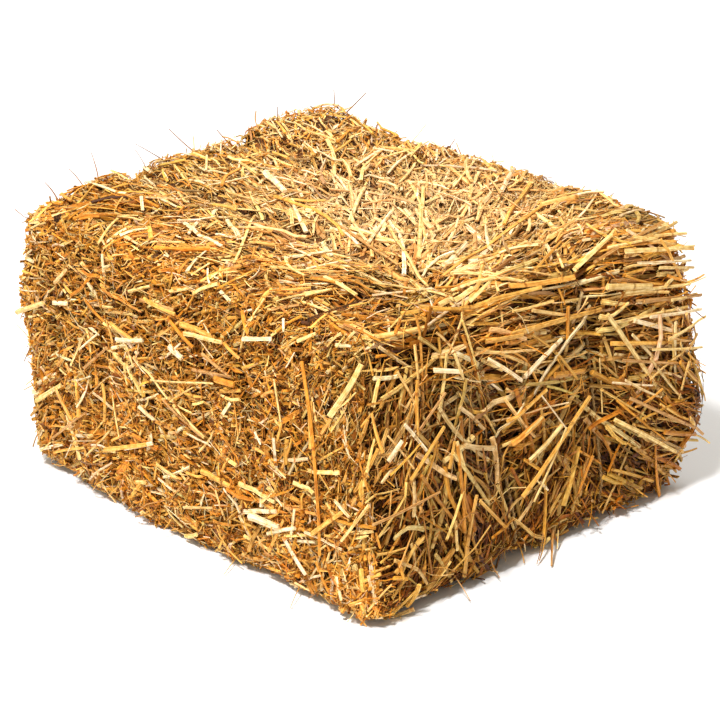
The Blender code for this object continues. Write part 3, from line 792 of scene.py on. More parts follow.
def cover_cut_side():
    """Short broken ends and chaff in all directions, leaf blades, and a few pale longer pieces on the
    outside.
    """
    face, turn, colours, blades = "cut side", cut_side_turn, CUT_SIDE_COLOURS, CUT_SIDE_BLADES
    straws(face, 2.0, turn, (0.008, 0.024), (0.0012, 0.0030), (-0.012, -0.004), colours, CHIP, 0.5)
    straws(face, 2.6, turn, (0.004, 0.014), (0.0008, 0.0022), (-0.006, 0.0008), colours, CHIP, 0.5)
    straws(face, 3.6, turn, (0.005, 0.024), (0.0004, 0.0012), (-0.007, 0.0012), blades, SPLINTER, 0.4)
    straws(face, 1.1, turn, (0.014, 0.048), (0.0014, 0.0042), (-0.008, 0.0), blades, BLADE, 0.2)
    straws(face, 0.9, turn, (0.012, 0.050), (0.0004, 0.0009), (-0.007, 0.0015), CUT_SIDE_FIBRES, FIBRE, 0.3)
    straws(face, 0.75, turn, (0.014, 0.045), (0.0010, 0.0022), (-0.010, -0.002), colours, STALK, 0.3)
    straws(face, 0.20, turn, (0.016, 0.060), (0.0011, 0.0027), (-0.002, 0.0025), CUT_SIDE_BRIGHT, STALK, 0.10,
           overhang=(0.0, 0.010))
    stubs(face, 0.50, (0.008, 0.018), (0.0014, 0.0024), (-0.006, -0.002), colours)
    whiskers(face, 0.05, any_turn)


def cover_top():
    """Bleached straws that run out from the pinch, over shorter pieces."""
    face, turn, colours = "top", top_turn, TOP_COLOURS
    straws(face, 1.0, turn, (0.008, 0.030), (0.0010, 0.0026), (-0.011, -0.001), colours, CHIP, 0.35)
    straws(face, 2.2, turn, (0.008, 0.030), (0.0004, 0.0012), (-0.006, 0.0012), colours, SPLINTER, 0.3)
    straws(face, 0.65, turn, (0.018, 0.070), (0.0014, 0.0040), (-0.007, 0.0005), colours, BLADE, 0.15)
    straws(face, 0.6, turn, (0.020, 0.070), (0.0004, 0.0009), (-0.005, 0.0015), colours, FIBRE, 0.2)
    straws(face, 0.70, turn, (0.025, 0.085), (0.0011, 0.0023), (-0.011, -0.003), colours, DEEP_STALK)
    straws(face, 0.48, turn, (0.028, 0.100), (0.0011, 0.0025), (-0.004, 0.001), colours, STALK, 0.05)
    straws(face, 0.10, turn, (0.035, 0.120), (0.0014, 0.0032), (0.000, 0.003), TOP_BRIGHT, FINE_STALK, 0.04)
    whiskers(face, 0.03, any_turn)


def cover_front_end():
    """Long stalks in the plane of the end, in layers with dark gaps."""
    face, turn, colours = "front end", end_turn, END_COLOURS
    straws(face, 1.0, turn, (0.030, 0.110), (0.0012, 0.0024), (-0.020, -0.010), END_DEEP_SHADED, DEEP_STALK, 0.08)
    straws(face, 0.62, turn, (0.030, 0.115), (0.0011, 0.0026), (-0.012, -0.004), colours, STALK, 0.06,
           overhang=(0.0, 0.012))
    straws(face, 0.28, turn, (0.030, 0.120), (0.0014, 0.0034), (-0.004, 0.002), END_BRIGHT, FINE_STALK, 0.05,
           overhang=(0.0, 0.016), spread=(1.4, 2.2))
    straws(face, 0.50, turn, (0.018, 0.075), (0.0012, 0.0034), (-0.010, 0.0), colours, BLADE, 0.15)
    straws(face, 1.1, turn, (0.020, 0.080), (0.0004, 0.0009), (-0.011, 0.001), colours, FIBRE, 0.15)
    straws(face, 1.0, turn, (0.006, 0.022), (0.0009, 0.0022), (-0.016, -0.002), colours, CHIP, 0.3)
    straws(face, 1.8, turn, (0.008, 0.030), (0.0004, 0.0011), (-0.012, 0.0), colours, SPLINTER, 0.3)
    whiskers(face, 0.07, any_turn)


def cover_back():
    """The folded side, the far end and the underside, in the same straw."""
    turn, mix = level_turn, BACK_COLOURS
    for face, dense in (("folded side", 1.0), ("far end", 1.0), ("underside", 0.4)):
        straws(face, 0.7 * dense, turn, (0.025, 0.110), (0.0013, 0.0025), (-0.013, -0.005), mix, DEEP_STALK)
        straws(face, 0.40 * dense, turn, (0.030, 0.120), (0.0013, 0.0028), (-0.005, 0.0), mix, STALK)
        straws(face, 0.40 * dense, turn, (0.015, 0.060), (0.0014, 0.0036), (-0.008, 0.0), mix, BLADE, 0.15)
        straws(face, 0.5 * dense, turn, (0.020, 0.060), (0.0005, 0.0009), (-0.006, 0.001), mix, FIBRE, 0.2)
        straws(face, 1.0 * dense, turn, (0.008, 0.026), (0.0010, 0.0024), (-0.011, -0.001), mix, CHIP, 0.3)
    whiskers("folded side", 0.03, any_turn)
    whiskers("far end", 0.04, any_turn)


# Single stalks that stand out: foot and tip by the face's two directions from its middle, and half width,
# in mm, then colour, and bow as a share of the length where there is one
BY_HAND = {
    "front end": (
        (-114, 152, 90, 178, 3.0, PALE), (-40, 95, 88, 85, 3.2, GOLD), (86, 83, 173, -30, 2.8, PALE),
        (92, 108, 159, 91, 3.6, PALE), (126, 133, 231, 111, 2.8, PALE), (93, 51, 193, 25, 2.4, GOLD),
        (120, 95, 222, 76, 2.0, PALE), (140, 119, 228, 99, 1.6, CREAM), (100, 70, 212, 56, 1.9, PALE),
        (152, 62, 236, 47, 2.0, CREAM), (160, 141, 232, 127, 1.8, PALE), (108, 143, 178, 134, 1.6, PALE),
        (170, 107, 238, 88, 1.8, PALE), (136, 82, 200, 69, 1.5, TAN), (180, 72, 240, 60, 1.8, PALE),
        (148, 31, 228, 10, 1.6, PALE), (168, 36, 253, 36, 1.8, PALE), (128, 65, 185, 39, 2.6, CREAM),
        (59, 142, 92, 104, 2.0, GOLD), (40, 101, 40, 65, 3.0, ORANGE), (-22, 48, 30, 71, 3.0, CREAM),
        (-69, 79, -29, 47, 2.4, CREAM), (-70, 76, -50, 62, 2.2, PALE), (-141, 89, -107, 78, 2.8, CREAM),
        (-85, 75, -46, 38, 1.4, CREAM), (-49, 11, 5, 28, 2.2, GOLD), (-31, -71, 63, 5, 2.6, GOLD),
        (-16, -81, 29, -17, 2.0, PALE), (68, -59, 49, -94, 2.0, ORANGE), (84, -81, 136, -160, 3.4, PALE),
        (95, -28, 189, -92, 2.4, PALE), (63, -21, 100, -59, 3.0, TAN), (88, 34, 92, -26, 1.2, PALE),
        (-6, 26, 33, -23, 0.9, CREAM), (-94, 136, 9, 127, 2.4, GOLD), (56, 132, 124, 160, 2.6, PALE),
        (86, 133, 196, 152, 1.8, TAN), (-69, 97, -25, 91, 3.0, GOLD), (-117, 99, -106, 71, 2.0, PALE),
        (-163, 38, -129, 64, 2.0, TAN), (-181, -4, -135, 34, 2.2, GOLD), (-206, 22, -189, 37, 2.6, CREAM),
        (-186, 52, -159, 18, 2.0, CREAM), (-130, -9, -123, 16, 2.4, GOLD),
        (-121, 15, -113, -13, 2.0, PALE), (-127, -62, -122, -95, 1.8, PALE),
        (-231, -32, -147, -26, 1.8, TAN), (-96, -51, -61, -90, 2.0, GOLD), (112, -9, 237, -87, 2.0, TAN),
        (106, 31, 210, -2, 1.6, TAN), (95, 10, 149, -7, 1.2, CREAM), (146, 79, 246, 59, 2.2, TAN),
        (-79, 142, -52, 154, 2.0, PALE), (-76, -58, 5, -75, 0.7, PALE, 0.14),
        (-14, -58, -9, -64, 1.1, PALE), (-8, -62, -3, -69, 1.1, CREAM), (-3, -66, 0, -73, 1.1, PALE),
        (0, -70, 5, -76, 1.1, CREAM),
    ),
    "cut side": (
        (223, 56, 262, 112, 3.2, PALE), (193, 61, 193, 15, 2.6, GOLD), (91, -51, 141, -53, 2.6, PALE),
        (102, -80, 145, -77, 4.4, CREAM), (93, -79, 141, -62, 2.6, CREAM),
        (167, -51, 161, -83, 1.8, CREAM), (231, -58, 261, -16, 1.6, PALE),
        (224, -22, 242, -32, 2.2, CREAM), (-36, 97, 13, 96, 2.4, GOLD), (0, 61, 18, 54, 3.4, CREAM),
        (-59, 33, -10, 4, 1.6, PALE), (1, 90, 34, 69, 2.2, ORANGE), (25, 80, 84, 88, 2.4, PALE),
        (-37, 15, 62, 42, 1.3, PALE), (-81, 44, -40, 55, 2.6, CREAM), (33, 46, 93, 57, 2.0, TAN),
        (18, 87, 70, 88, 3.6, GOLD), (71, 48, 100, 50, 3.8, ORANGE), (-255, 20, -200, 46, 3.0, PALE),
        (-180, 52, -155, 58, 2.8, CREAM), (-233, -69, -185, -38, 3.2, PALE),
        (119, 98, 159, 111, 2.2, CREAM), (224, 158, 236, 166, 2.2, CREAM), (-17, 2, 36, -20, 2.0, TAN),
        (29, -57, 75, -57, 3.0, GOLD), (-116, -80, -46, -51, 2.6, GOLD), (190, -68, 234, -29, 2.6, GOLD),
        (188, 100, 208, -86, 2.0, ORANGE, 0.03), (-205, -101, -140, -50, 1.5, TAN),
        (-207, -117, -128, -82, 1.7, GOLD), (-81, -67, -38, -48, 2.6, CREAM), (-4, 1, 38, -20, 1.9, PALE),
        (155, 72, 162, 32, 1.7, PALE), (162, 32, 156, 12, 1.5, GOLD), (195, 62, 195, 28, 2.6, GOLD),
        (-158, -7, -136, 28, 1.5, PALE), (-140, -4, -102, 30, 1.6, TAN), (-144, 14, -114, 40, 1.2, CREAM),
        (-37, -71, -5, -74, 1.8, PALE), (-38, -69, -43, -88, 1.8, GOLD), (124, 101, 159, 110, 2.0, CREAM),
        (167, 133, 171, 121, 1.8, CREAM), (183, 115, 205, 130, 2.0, PALE), (10, -24, 45, -27, 1.6, CREAM),
        (128, 13, 136, 3, 1.6, CREAM), (-88, 59, -51, 51, 2.6, GOLD), (-41, 95, 11, 100, 1.8, TAN),
        (52, 68, 92, 58, 1.8, TAN),
    ),
    "top": (
        (-56, -31, -24, 2, 2.8, GOLD), (-121, 7, -59, -21, 3.8, CREAM), (-67, -149, 6, -164, 2.2, CREAM),
        (51, -187, -45, -77, 1.8, PALE), (-150, -135, -118, -159, 2.0, CREAM),
        (-67, 119, -25, 38, 1.2, PALE), (106, -59, 56, 19, 1.8, CREAM), (170, -55, 20, 100, 2.4, PALE),
        (179, -48, 57, 58, 2.0, PALE), (122, 22, -13, 110, 2.2, PALE), (79, 152, 176, 5, 2.6, PALE),
        (93, 181, 153, 78, 2.4, GOLD), (89, -16, 228, -103, 2.2, PALE), (27, -41, 164, -76, 1.8, TAN),
        (146, 145, 214, -72, 2.2, GOLD), (-56, -31, 75, -58, 2.0, GOLD, 0.10),
    ),
}


HAND_HEIGHT = 0.0032
HAND_OVERHANG = 0.014
HAND_RINGS = 6


def lay_by_hand(face, rows):
    """Single stalks on top of the others, from foot to tip, a little thinner towards the tip."""
    table = np.array([row[:5] for row in rows]) / MM
    bow = np.array([row[6] if len(row) > 6 else 0.0 for row in rows])
    foot, tip, n = table[:, :2], table[:, 2:4], len(rows)
    run = tip - foot
    none = np.zeros(n)
    height, past, drape = np.full(n, HAND_HEIGHT), np.full(n, HAND_OVERHANG), CHANCE.uniform(0.2, 0.5, n)
    sizes = np.arctan2(run[:, 1], run[:, 0]), none, np.linalg.norm(run, axis=1), height, bow, none
    lying = laid(face, (foot + tip) / 2, *sizes, HAND_RINGS, past, drape)
    width = table[:, 4:] * np.linspace(1.0, 0.85, HAND_RINGS)[None, :]
    depth = width * CHANCE.uniform(0.35, 0.65, n)[:, None]
    twist = CHANCE.uniform(-0.4, 0.4, n)[:, None] + np.zeros((1, HAND_RINGS))
    colour = np.array([row[5] for row in rows])[:, None, :] * CHANCE.normal(1.0, 0.05, (n, HAND_RINGS, 1))
    pile_up(face, lying, width, depth, twist, colour, 6, False)


# Wisps that stand clear of the outline: foot and tip in space and half width, in mm, and colour
WISPS = {
    "top": (
        (-260, -118, 278, -275, -115, 308, 0.8, BROWN), (-257, -138, 277, -275, -145, 297, 0.9, BROWN),
        (-253, -59, 280, -267, -63, 301, 0.8, BROWN), (-257, -29, 282, -286, -48, 300, 0.8, BROWN),
        (-270, 23, 277, -298, 9, 301, 0.8, BROWN), (-236, 51, 284, -256, 41, 303, 0.9, BROWN),
        (-265, 222, 269, -285, 241, 301, 0.8, BROWN), (-235, 212, 290, -225, 235, 312, 0.8, BROWN),
        (-277, 119, 284, -284, 122, 301, 1.2, TAN), (-258, 10, 283, -264, 14, 301, 1.2, PALE),
        (-253, -173, 267, -272, -178, 290, 0.9, BROWN), (-251, 125, 292, -257, 130, 310, 0.8, BROWN),
        (-147, 219, 266, -141, 246, 291, 1.0, PALE), (-90, 219, 273, -86, 236, 289, 0.9, BROWN),
        (-268, 218, 275, -254, 241, 288, 1.0, PALE), (32, 190, 286, 17, 186, 306, 0.8, PALE),
        (-251, -201, 262, -263, -216, 258, 0.9, BROWN),
    ),
    "front end": (
        (261, 16, 26, 281, -16, 3, 1.8, GOLD), (259, 28, 22, 296, -15, 3, 2.2, TAN),
        (259, 34, 22, 276, 15, 3, 1.4, PALE), (262, 10, 29, 284, -23, 3, 1.2, TAN),
        (268, -71, 26, 282, -73, 6, 0.9, TAN), (253, -23, 22, 274, -30, 3, 0.9, GOLD),
        (264, 43, 33, 282, 47, 17, 0.9, BROWN), (264, 64, 30, 283, 68, 12, 1.0, BROWN),
        (265, -122, 24, 291, -122, 3, 0.7, TAN), (261, 222, 57, 282, 239, 47, 1.8, PALE),
        (251, 211, 222, 267, 233, 230, 1.6, GOLD), (253, 206, 219, 271, 231, 229, 1.4, PALE),
        (237, 215, 251, 252, 234, 256, 1.8, PALE), (266, 205, 156, 287, 218, 141, 0.8, TAN),
        (249, 227, 199, 268, 236, 182, 0.8, BROWN), (255, 214, 33, 270, 234, 39, 1.6, GOLD),
        (265, 178, 32, 281, 188, 19, 1.2, TAN), (269, 136, 30, 282, 143, 18, 1.0, GOLD),
    ),
    "cut side": (
        (-205, -232, 38, -211, -246, 26, 1.0, PALE), (-246, -218, 85, -255, -231, 78, 0.9, GOLD),
        (-248, -217, 108, -262, -226, 118, 0.9, PALE), (-7, -236, 25, -9, -247, 10, 0.9, GOLD),
        (76, -225, 4, 93, -256, 3, 0.9, PALE), (164, -218, 8, 185, -253, 3, 0.9, GOLD),
        (-84, -237, 32, -90, -249, 22, 0.9, GOLD), (246, -226, 17, 244, -236, 5, 1.0, PALE),
    ),
}


def lay_wisps(face, rows):
    """Wisps from foot to tip, bowed at random as 1 - t^2, and thinner towards the tip."""
    table = np.array([row[:7] for row in rows]) / MM
    foot, tip, n = table[:, None, :3], table[:, None, 3:6], len(rows)
    t = np.linspace(-1.0, 1.0, HAND_RINGS)[None, :, None]
    path = (foot + tip) / 2 + (tip - foot) / 2 * t + CHANCE.normal(0.0, 0.0012, (n, 1, 3)) * (1.0 - t * t)
    upward = unit(FACES[face][2] + CHANCE.normal(0.0, 0.3, (n, 3)))
    width = table[:, 6:] * np.linspace(1.0, 0.6, HAND_RINGS)[None, :]
    twist = CHANCE.uniform(-1.0, 1.0, n)[:, None] + np.zeros((1, HAND_RINGS))
    colour = np.array([row[7] for row in rows])[:, None, :] * CHANCE.normal(0.9, 0.08, (n, HAND_RINGS, 1))
    pile_up(face, (path, upward, flake_at(table[:, 0])), width, width * 0.55, twist, colour, 5, False)


cover_cut_side()
cover_top()
cover_front_end()
cover_back()
for name, rows in BY_HAND.items():
    lay_by_hand(name, rows)
for name, rows in WISPS.items():
    lay_wisps(name, rows)

# The pressed mass under the loose straws, coloured dark brown as painted shade in the gaps between them
CORE_DEPTH = 0.012
CORE_DEPTH_AT_END = 0.020
CORE_DEPTH_BELOW = 0.004
CORE_LUMPS = 0.0035
# Half the gap between two flakes' cores
CORE_GAP = 0.0008
# Painted shade: the core's dark brown is the shade seen in the gaps between the straws
CORE_SHADE_COLOUR = np.array((0.14, 0.046, 0.005))
ROUND_STEPS = 104
CAP_SHARES = np.array((0.18, 0.36, 0.54, 0.70, 0.84, 0.94))
SKIRT_SHARES = np.array((0.02, 0.16, 0.33, 0.50, 0.67, 0.84, 0.98))


def box_outline(steps):
    """Y and Z of points at equal steps round the box's cross-section, from its lower cut-side edge by -Y,
    then +Z.
    """
    walk = np.arange(steps) / steps * 2 * (WIDTH + HEIGHT)
    turns = (0.0, HEIGHT, HEIGHT + WIDTH, 2 * HEIGHT + WIDTH, 2 * (WIDTH + HEIGHT))
    half = WIDTH / 2
    y = np.interp(walk, turns, (-half, -half, half, half, -half))
    z = np.interp(walk, turns, (0.0, HEIGHT, HEIGHT, 0.0, 0.0))
    return y, z


def let_in(flake, square):
    """The skin over points of the box, let in along its normal by the core's depth, more at the ends, with
    lumps.
    """
    point, normal = skin(np.full(len(square), flake), square)
    depth = CORE_DEPTH + (CORE_DEPTH_AT_END - CORE_DEPTH) * np.abs(normal[:, 0]) ** 2
    depth = np.where(normal[:, 2] < -0.9, CORE_DEPTH_BELOW, depth + CORE_LUMPS * lumps(point, 0.012, 5))
    return point - normal * depth[:, None]


def core_rows(flake):
    """Rows of points of a flake's core, from the middle of its far side to the middle of its near side.

    The skirt's rows lie over the box's outline at shares of the flake's thickness. The rows of the two
    sides are the outline shrunk towards its middle.
    """
    y, z = box_outline(ROUND_STEPS)
    sides = []
    for seam, shares in ((0, CAP_SHARES), (1, CAP_SHARES[::-1])):
        x0 = np.full(ROUND_STEPS, SEAMS[flake + seam])
        rows = []
        for share in shares:
            square = np.stack((x0, y * share, (z - HEIGHT / 2) * share + HEIGHT / 2), axis=1)
            if flake + seam in (0, FLAKES):
                rows.append(let_in(flake, square))
            else:
                inward = np.array((CORE_GAP if seam == 0 else -CORE_GAP, 0.0, 0.0))
                rows.append(settled(np.full(ROUND_STEPS, flake), x0, square) + inward)
        sides.append(rows)
    skirt = []
    for share in SKIRT_SHARES:
        x0 = np.full(ROUND_STEPS, SEAMS[flake] + share * (SEAMS[flake + 1] - SEAMS[flake]))
        skirt.append(let_in(flake, np.stack((x0, y, z), axis=1)))
    return np.array(sides[0] + skirt + sides[1])


def add_core(parts, flake):
    """The flake's closed core: its rows joined by quads, and a fan of triangles to a middle point at each
    end.
    """
    rows = core_rows(flake)
    count = len(rows)
    poles = np.array((rows[0].mean(axis=0), rows[-1].mean(axis=0)))
    points = np.concatenate((rows.reshape(-1, 3), poles))
    i = (np.arange(count - 1) * ROUND_STEPS)[:, None]
    j = np.arange(ROUND_STEPS)[None, :]
    after = (j + 1) % ROUND_STEPS
    quads = np.stack((i + j, i + ROUND_STEPS + j, i + ROUND_STEPS + after, i + after), axis=-1).reshape(-1, 4)
    j, after = j[0], after[0]
    last = (count - 1) * ROUND_STEPS
    near = np.stack((np.full(ROUND_STEPS, count * ROUND_STEPS), j, after), axis=1)
    far = np.stack((np.full(ROUND_STEPS, count * ROUND_STEPS + 1), last + after, last + j), axis=1)
    fans = np.concatenate((near, far))
    colours = CORE_SHADE_COLOUR * (1.0 + 0.5 * lumps(points, 0.010, 8))[:, None]
    flat_map = points[:, (0, 2)]
    parts.add(points, colours, (quads, fans), (flat_map[quads], flat_map[fans]), (True, True), 1)


# Materials


def new_material(name, roughness):
    """A material, its nodes and its Principled shader."""
    material = bpy.data.materials.new(name)
    material.use_nodes = True
    tree = material.node_tree
    shader = tree.nodes["Principled BSDF"]
    shader.inputs["Roughness"].default_value = roughness
    return material, tree, shader


def node(tree, kind, **settings):
    """A node with its settings and input values."""
    made = tree.nodes.new(kind)
    for name, value in settings.items():
        if name in made.inputs:
            made.inputs[name].default_value = value
        else:
            setattr(made, name, value)
    return made


def ramp(tree, factor, stops):
    """A colour ramp over a factor, from (place, grey or colour) stops."""
    made = tree.nodes.new("ShaderNodeValToRGB")
    elements = made.color_ramp.elements
    for number, (place, colour) in enumerate(stops):
        stop = elements[number] if number < 2 else elements.new(place)
        stop.position = place
        value = (colour,) * 3 if isinstance(colour, float) else colour
        stop.color = (*value, 1.0)
    tree.links.new(factor, made.inputs["Fac"])
    return made.outputs["Color"]


def multiplied(tree, first, second):
    """Two colours multiplied."""
    made = tree.nodes.new("ShaderNodeMix")
    made.data_type = "RGBA"
    made.blend_type = "MULTIPLY"
    made.inputs["Factor"].default_value = 1.0
    tree.links.new(first, made.inputs[6])
    tree.links.new(second, made.inputs[7])
    return made.outputs[2]


def own_colour(tree):
    """The colour that the piece's points carry."""
    return node(tree, "ShaderNodeAttribute", attribute_name="straw_colour").outputs["Color"]


def bumped(tree, shader, height, strength, distance):
    """Gives the shader bumps of a height."""
    bump = node(tree, "ShaderNodeBump", Strength=strength, Distance=distance)
    tree.links.new(height, bump.inputs["Height"])
    tree.links.new(bump.outputs["Normal"], shader.inputs["Normal"])


# Stops of the straw's ramps: fine lines, stains, the dark joint and what is round it, and the gloss
LINE_STOPS = ((0.34, (0.58, 0.42, 0.22)), (0.60, 1.14))
STAIN_STOPS = ((0.30, (0.80, 0.64, 0.38)), (0.58, 1.08))
JOINT_BROWN = (0.55, 0.42, 0.28)
JOINT_STOPS = ((0.0, (0.92, 0.85, 0.75)), (0.007, JOINT_BROWN), (0.018, JOINT_BROWN), (0.025, 1.0))
GLOSS_STOPS = ((0.25, 0.60), (0.75, 0.36))
JOINT_SPACING = 0.16


def straw_material():
    """Dry straw: its own colour, fine lines along the stalk, stains, dark joints, and a waxy gloss."""
    material, tree, shader = new_material("dry_straw", 0.5)
    shader.inputs["Specular IOR Level"].default_value = 0.22
    along = node(tree, "ShaderNodeUVMap", uv_map="along_straw").outputs["UV"]
    stretch = node(tree, "ShaderNodeMapping")
    stretch.inputs["Scale"].default_value = (22.0, 1000.0, 1.0)
    tree.links.new(along, stretch.inputs["Vector"])
    lines = node(tree, "ShaderNodeTexNoise", Scale=1.0, Detail=3.0, Roughness=0.65)
    tree.links.new(stretch.outputs["Vector"], lines.inputs["Vector"])
    blotches = node(tree, "ShaderNodeTexNoise", Scale=140.0, Detail=2.0)
    tree.links.new(along, blotches.inputs["Vector"])
    lined = multiplied(tree, own_colour(tree), ramp(tree, lines.outputs["Fac"], LINE_STOPS))
    stained = multiplied(tree, lined, ramp(tree, blotches.outputs["Fac"], STAIN_STOPS))
    apart = node(tree, "ShaderNodeSeparateXYZ")
    tree.links.new(along, apart.inputs["Vector"])
    spaced = node(tree, "ShaderNodeMath", operation="DIVIDE")
    spaced.inputs[1].default_value = JOINT_SPACING
    tree.links.new(apart.outputs["X"], spaced.inputs[0])
    share = node(tree, "ShaderNodeMath", operation="FRACT")
    tree.links.new(spaced.outputs["Value"], share.inputs[0])
    joints = ramp(tree, share.outputs["Value"], JOINT_STOPS)
    tree.links.new(multiplied(tree, stained, joints), shader.inputs["Base Color"])
    tree.links.new(ramp(tree, blotches.outputs["Fac"], GLOSS_STOPS), shader.inputs["Roughness"])
    bumped(tree, shader, lines.outputs["Fac"], 0.35, 0.0003)
    return material


def matt_material(name, roughness, scale, detail, stops, bump):
    """A matt material: the piece's own colour, times a fine noise by the stops, with the noise's bumps."""
    material, tree, shader = new_material(name, roughness)
    noise = node(tree, "ShaderNodeTexNoise", Scale=scale, Detail=detail)
    tree.links.new(node(tree, "ShaderNodeTexCoord").outputs["Object"], noise.inputs["Vector"])
    mottled = multiplied(tree, own_colour(tree), ramp(tree, noise.outputs["Fac"], stops))
    tree.links.new(mottled, shader.inputs["Base Color"])
    bumped(tree, shader, noise.outputs["Fac"], 0.8, bump)
    return material


def place_piece(name, data, materials, slot, *nodes):
    """Puts a finished mesh into the scene, in place of the nodes given."""
    for material in materials:
        data.materials.append(material)
    thing = bpy.data.objects.new(name, data)
    bpy.context.scene.collection.objects.link(thing)
    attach(thing, "root")
    if nodes:
        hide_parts(*nodes)
    return thing


STRAW = straw_material()
# The pressed straw inside, seen only in the gaps and painted dark as their shade, and the twine's sisal
INSIDE_SHADE = matt_material("straw_inside_shade", 0.9, 420.0, 3.0, ((0.35, 0.35), (0.7, 1.9)), 0.002)
SISAL = matt_material("sisal", 0.85, 900.0, 2.0, ((0.3, (0.55, 0.48, 0.36)), (0.7, 1.1)), 0.0008)
END_OF_FLAKE = {0: "far end", FLAKES - 1: "front end"}


def build_flake(flake):
    """One flake's pieces: its core and straws, and for an end flake a second piece with the straws of its
    end.
    """
    parts, end_parts = MeshParts(), MeshParts()
    add_core(parts, flake)
    for kind in PILE:
        on_end = kind["face"] == END_OF_FLAKE.get(flake)
        add_kind(end_parts if on_end else parts, kind, chosen(kind, flake))
    name = f"straw_{flake + 1}"
    place_piece(name, parts.mesh(name), (STRAW, INSIDE_SHADE), "straw", f"flake_{flake + 1}")
    if end_parts.count:
        name = END_OF_FLAKE[flake].replace(" ", "_") + "_straw"
        place_piece(name, end_parts.mesh(name), (STRAW,), "straw")


for number in range(FLAKES):
    build_flake(number)

# The twines
TWINE_LIFT = 0.0024
PLY_PITCH = 0.014
RINGS_PER_TURN = 6
PLY_OFFSET = 0.00082
PLY_RADIUS = 0.00095
KNOT_X = -0.165
KNOT_SIZE = 0.0019
KNOT_SHARES = (0.9, 0.7, 0.9)
KNOT_LIFT = 0.0012
KNOT_RADIUS = 0.0016
KNOT_TAILS = np.array(((0.030, 0.004, 0.006), (-0.022, -0.006, 0.006)))
TAIL_RADIUS = 0.0013
HAIRS = 260
HAIR_LENGTH = 0.006
HAIR_RADIUS = 0.00014
SISAL_COLOUR = np.array((0.43, 0.26, 0.092))


def twine_centre(twine):
    """Points at equal steps along a twine, from its knot along the top, down the front end, back below and
    up again.
    """
    steps = (0.0, LENGTH / 2 - KNOT_X, HEIGHT, LENGTH, HEIGHT, LENGTH / 2 + KNOT_X)
    turns = np.cumsum(steps)
    walk = np.linspace(0.0, turns[-1], 900)
    x0 = np.interp(walk, turns, (KNOT_X, LENGTH / 2, LENGTH / 2, -LENGTH / 2, -LENGTH / 2, KNOT_X))
    z0 = np.interp(walk, turns, (HEIGHT, HEIGHT, 0.0, 0.0, HEIGHT, HEIGHT))
    floor = groove_floor(x0, z0, TWINE_LIFT)
    rough = settled(flake_at(x0), x0, np.stack((floor[:, 0], twine_y(twine, x0, z0), floor[:, 1]), axis=1))
    gone = np.concatenate(([0.0], np.cumsum(np.linalg.norm(np.diff(rough, axis=0), axis=1))))
    even = np.linspace(0.0, gone[-1], int(gone[-1] / PLY_PITCH * RINGS_PER_TURN))
    return np.stack([np.interp(even, gone, rough[:, k]) for k in range(3)], axis=1), even


def strands(path, radius, sides, upward):
    """One kind of strands, round and smooth, in the twine's colour: a block for add_kind."""
    n, rings = path.shape[:2]
    width = np.full((n, rings), radius)
    colour = SISAL_COLOUR * CHANCE.uniform(0.75, 1.15, (n, rings, 1))
    return {
        "path": path, "tangent": unit(np.gradient(path, axis=1)), "upward": np.tile(np.array(upward), (n, 1)),
        "half_width": width, "half_depth": width, "twist": np.zeros((n, rings)), "colour": colour,
        "sides": sides, "smooth": True,
    }


def build_twine(twine):
    """A twine of two plies that wind round its middle line as a helix, with hairs, a knot and two tails.

    The knot is the curve (sin t + 2 sin 2t, cos t - 2 cos 2t, -0.8 sin 3t), flattened, with a round section.
    """
    centre, gone = twine_centre(twine)
    along = unit(np.gradient(centre, axis=0))
    side, above = np.array((0.0, 1.0, 0.0)), np.array((0.0, 0.0, 1.0))
    over = unit(np.cross(side, along))
    phase = gone * 2 * math.pi / PLY_PITCH + np.array((0.0, math.pi))[:, None]
    plies = centre + PLY_OFFSET * (np.cos(phase)[..., None] * side + np.sin(phase)[..., None] * over)
    t = np.linspace(0.0, 2 * math.pi, 49)
    middle = centre[0] + above * KNOT_LIFT
    x, y, z = np.sin(t) + 2 * np.sin(2 * t), np.cos(t) - 2 * np.cos(2 * t), -0.8 * np.sin(3 * t)
    knot = middle + KNOT_SIZE * np.stack((x, y, z), axis=1) * KNOT_SHARES
    tails = middle + KNOT_TAILS[:, None, :] * np.linspace(0.0, 1.0, 6)[None, :, None]
    foot = centre[CHANCE.integers(0, len(centre), HAIRS)]
    hair = np.stack((foot, foot + unit(CHANCE.normal(0.0, 1.0, (HAIRS, 3))) * HAIR_LENGTH), axis=1)
    parts = MeshParts()
    kinds = (
        (plies, PLY_RADIUS, 4, side),
        (knot[None], KNOT_RADIUS, 6, above),
        (tails, TAIL_RADIUS, 6, above),
        (hair, HAIR_RADIUS, 3, (0.3, 0.8, 0.5)),
    )
    for path, radius, sides, upward in kinds:
        add_kind(parts, strands(path, radius, sides, upward), np.arange(len(path)))
    name = f"sisal_{twine + 1}"
    place_piece(name, parts.mesh(name), (SISAL,), "twine", f"twine_{twine + 1}")


for number in range(len(TWINE_CORNERS)):
    build_twine(number)

# Floor, light and camera

FLOOR_SIZE = 8.0
AIM = (0.0, 0.0, 0.15)


def floor_material():
    """A pale matt floor."""
    material, tree, shader = new_material("pale_floor", 0.9)
    shader.inputs["Base Color"].default_value = (0.88, 0.91, 0.96, 1.0)
    return material


def add_floor():
    """A level sheet under the bale."""
    data = bpy.data.meshes.new("floor")
    half = FLOOR_SIZE / 2
    corners = [(-half, -half, 0), (half, -half, 0), (half, half, 0), (-half, half, 0)]
    data.from_pydata(corners, [], [(0, 1, 2, 3)])
    data.materials.append(floor_material())
    floor = bpy.data.objects.new("floor", data)
    bpy.context.scene.collection.objects.link(floor)


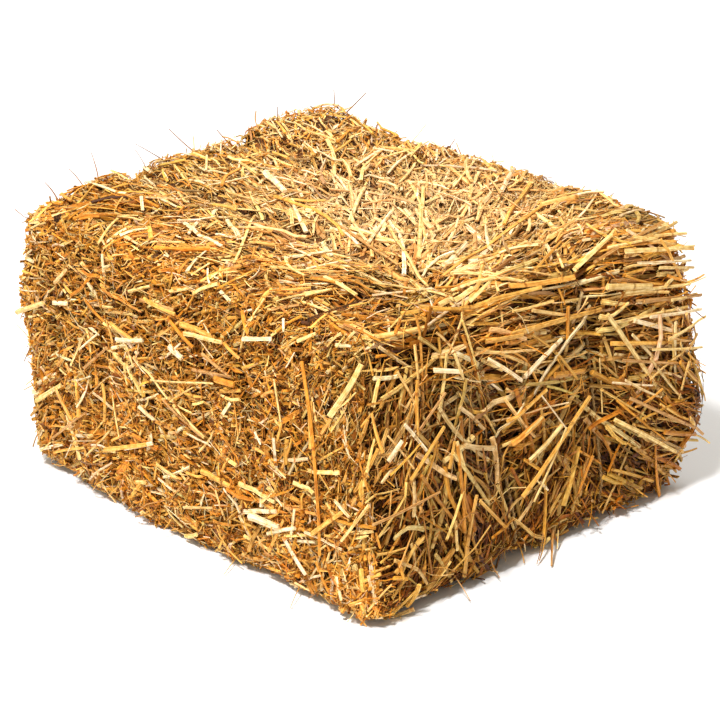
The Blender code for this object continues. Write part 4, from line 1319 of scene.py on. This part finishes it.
def add_light(name, place, target, size, power, colour=(1.0, 1.0, 1.0)):
    """A square soft light that faces its target."""
    lamp = bpy.data.lights.new(name, "AREA")
    lamp.size = size
    lamp.energy = power
    lamp.color = colour
    thing = bpy.data.objects.new(name, lamp)
    thing.location = place
    thing.rotation_euler = (Vector(target) - Vector(place)).to_track_quat("-Z", "Y").to_euler()
    bpy.context.scene.collection.objects.link(thing)


VIEW_AZIMUTH = math.radians(46.5)
VIEW_HEIGHT = math.radians(22.9)
VIEW_DISTANCE = 2.460
VIEW_RIGHT = 0.0085
VIEW_UP = -0.0250
VIEW_LENS = 120.0
SENSOR_WIDTH = 36.0


def add_camera():
    """The camera at the photograph's angle: aimed at the bale's middle, then moved sideways and up in its
    own plane.
    """
    camera = bpy.data.cameras.new("camera")
    camera.lens = VIEW_LENS
    camera.sensor_width = SENSOR_WIDTH
    camera.sensor_fit = "HORIZONTAL"
    thing = bpy.data.objects.new("camera", camera)
    back = Vector((
        math.sin(VIEW_AZIMUTH) * math.cos(VIEW_HEIGHT),
        -math.cos(VIEW_AZIMUTH) * math.cos(VIEW_HEIGHT),
        math.sin(VIEW_HEIGHT),
    ))
    turn = back.to_track_quat("Z", "Y")
    right, up = turn @ Vector((1, 0, 0)), turn @ Vector((0, 1, 0))
    thing.location = Vector(AIM) + back * VIEW_DISTANCE + right * VIEW_RIGHT + up * VIEW_UP
    thing.rotation_euler = turn.to_euler()
    bpy.context.scene.collection.objects.link(thing)
    bpy.context.scene.camera = thing


def add_sky():
    """Even, slightly warm light from all round."""
    world = bpy.data.worlds.new("studio")
    world.use_nodes = True
    background = world.node_tree.nodes["Background"]
    background.inputs["Color"].default_value = (1.0, 0.93, 0.78, 1.0)
    background.inputs["Strength"].default_value = 0.42
    bpy.context.scene.world = world


add_floor()
add_sky()
add_light("key", (0.6, -1.4, 2.6), AIM, 0.45, 112.0, (1.0, 0.96, 0.91))
add_light("fill", (-1.6, -2.2, 1.2), AIM, 1.6, 15.0, (1.0, 0.97, 0.92))
add_light("behind", (-1.3, 1.4, 3.0), (-1.9, 2.0, 0.0), 2.2, 75.0, (1.0, 0.98, 0.95))
add_camera()
bpy.context.scene.view_settings.view_transform = "Standard"
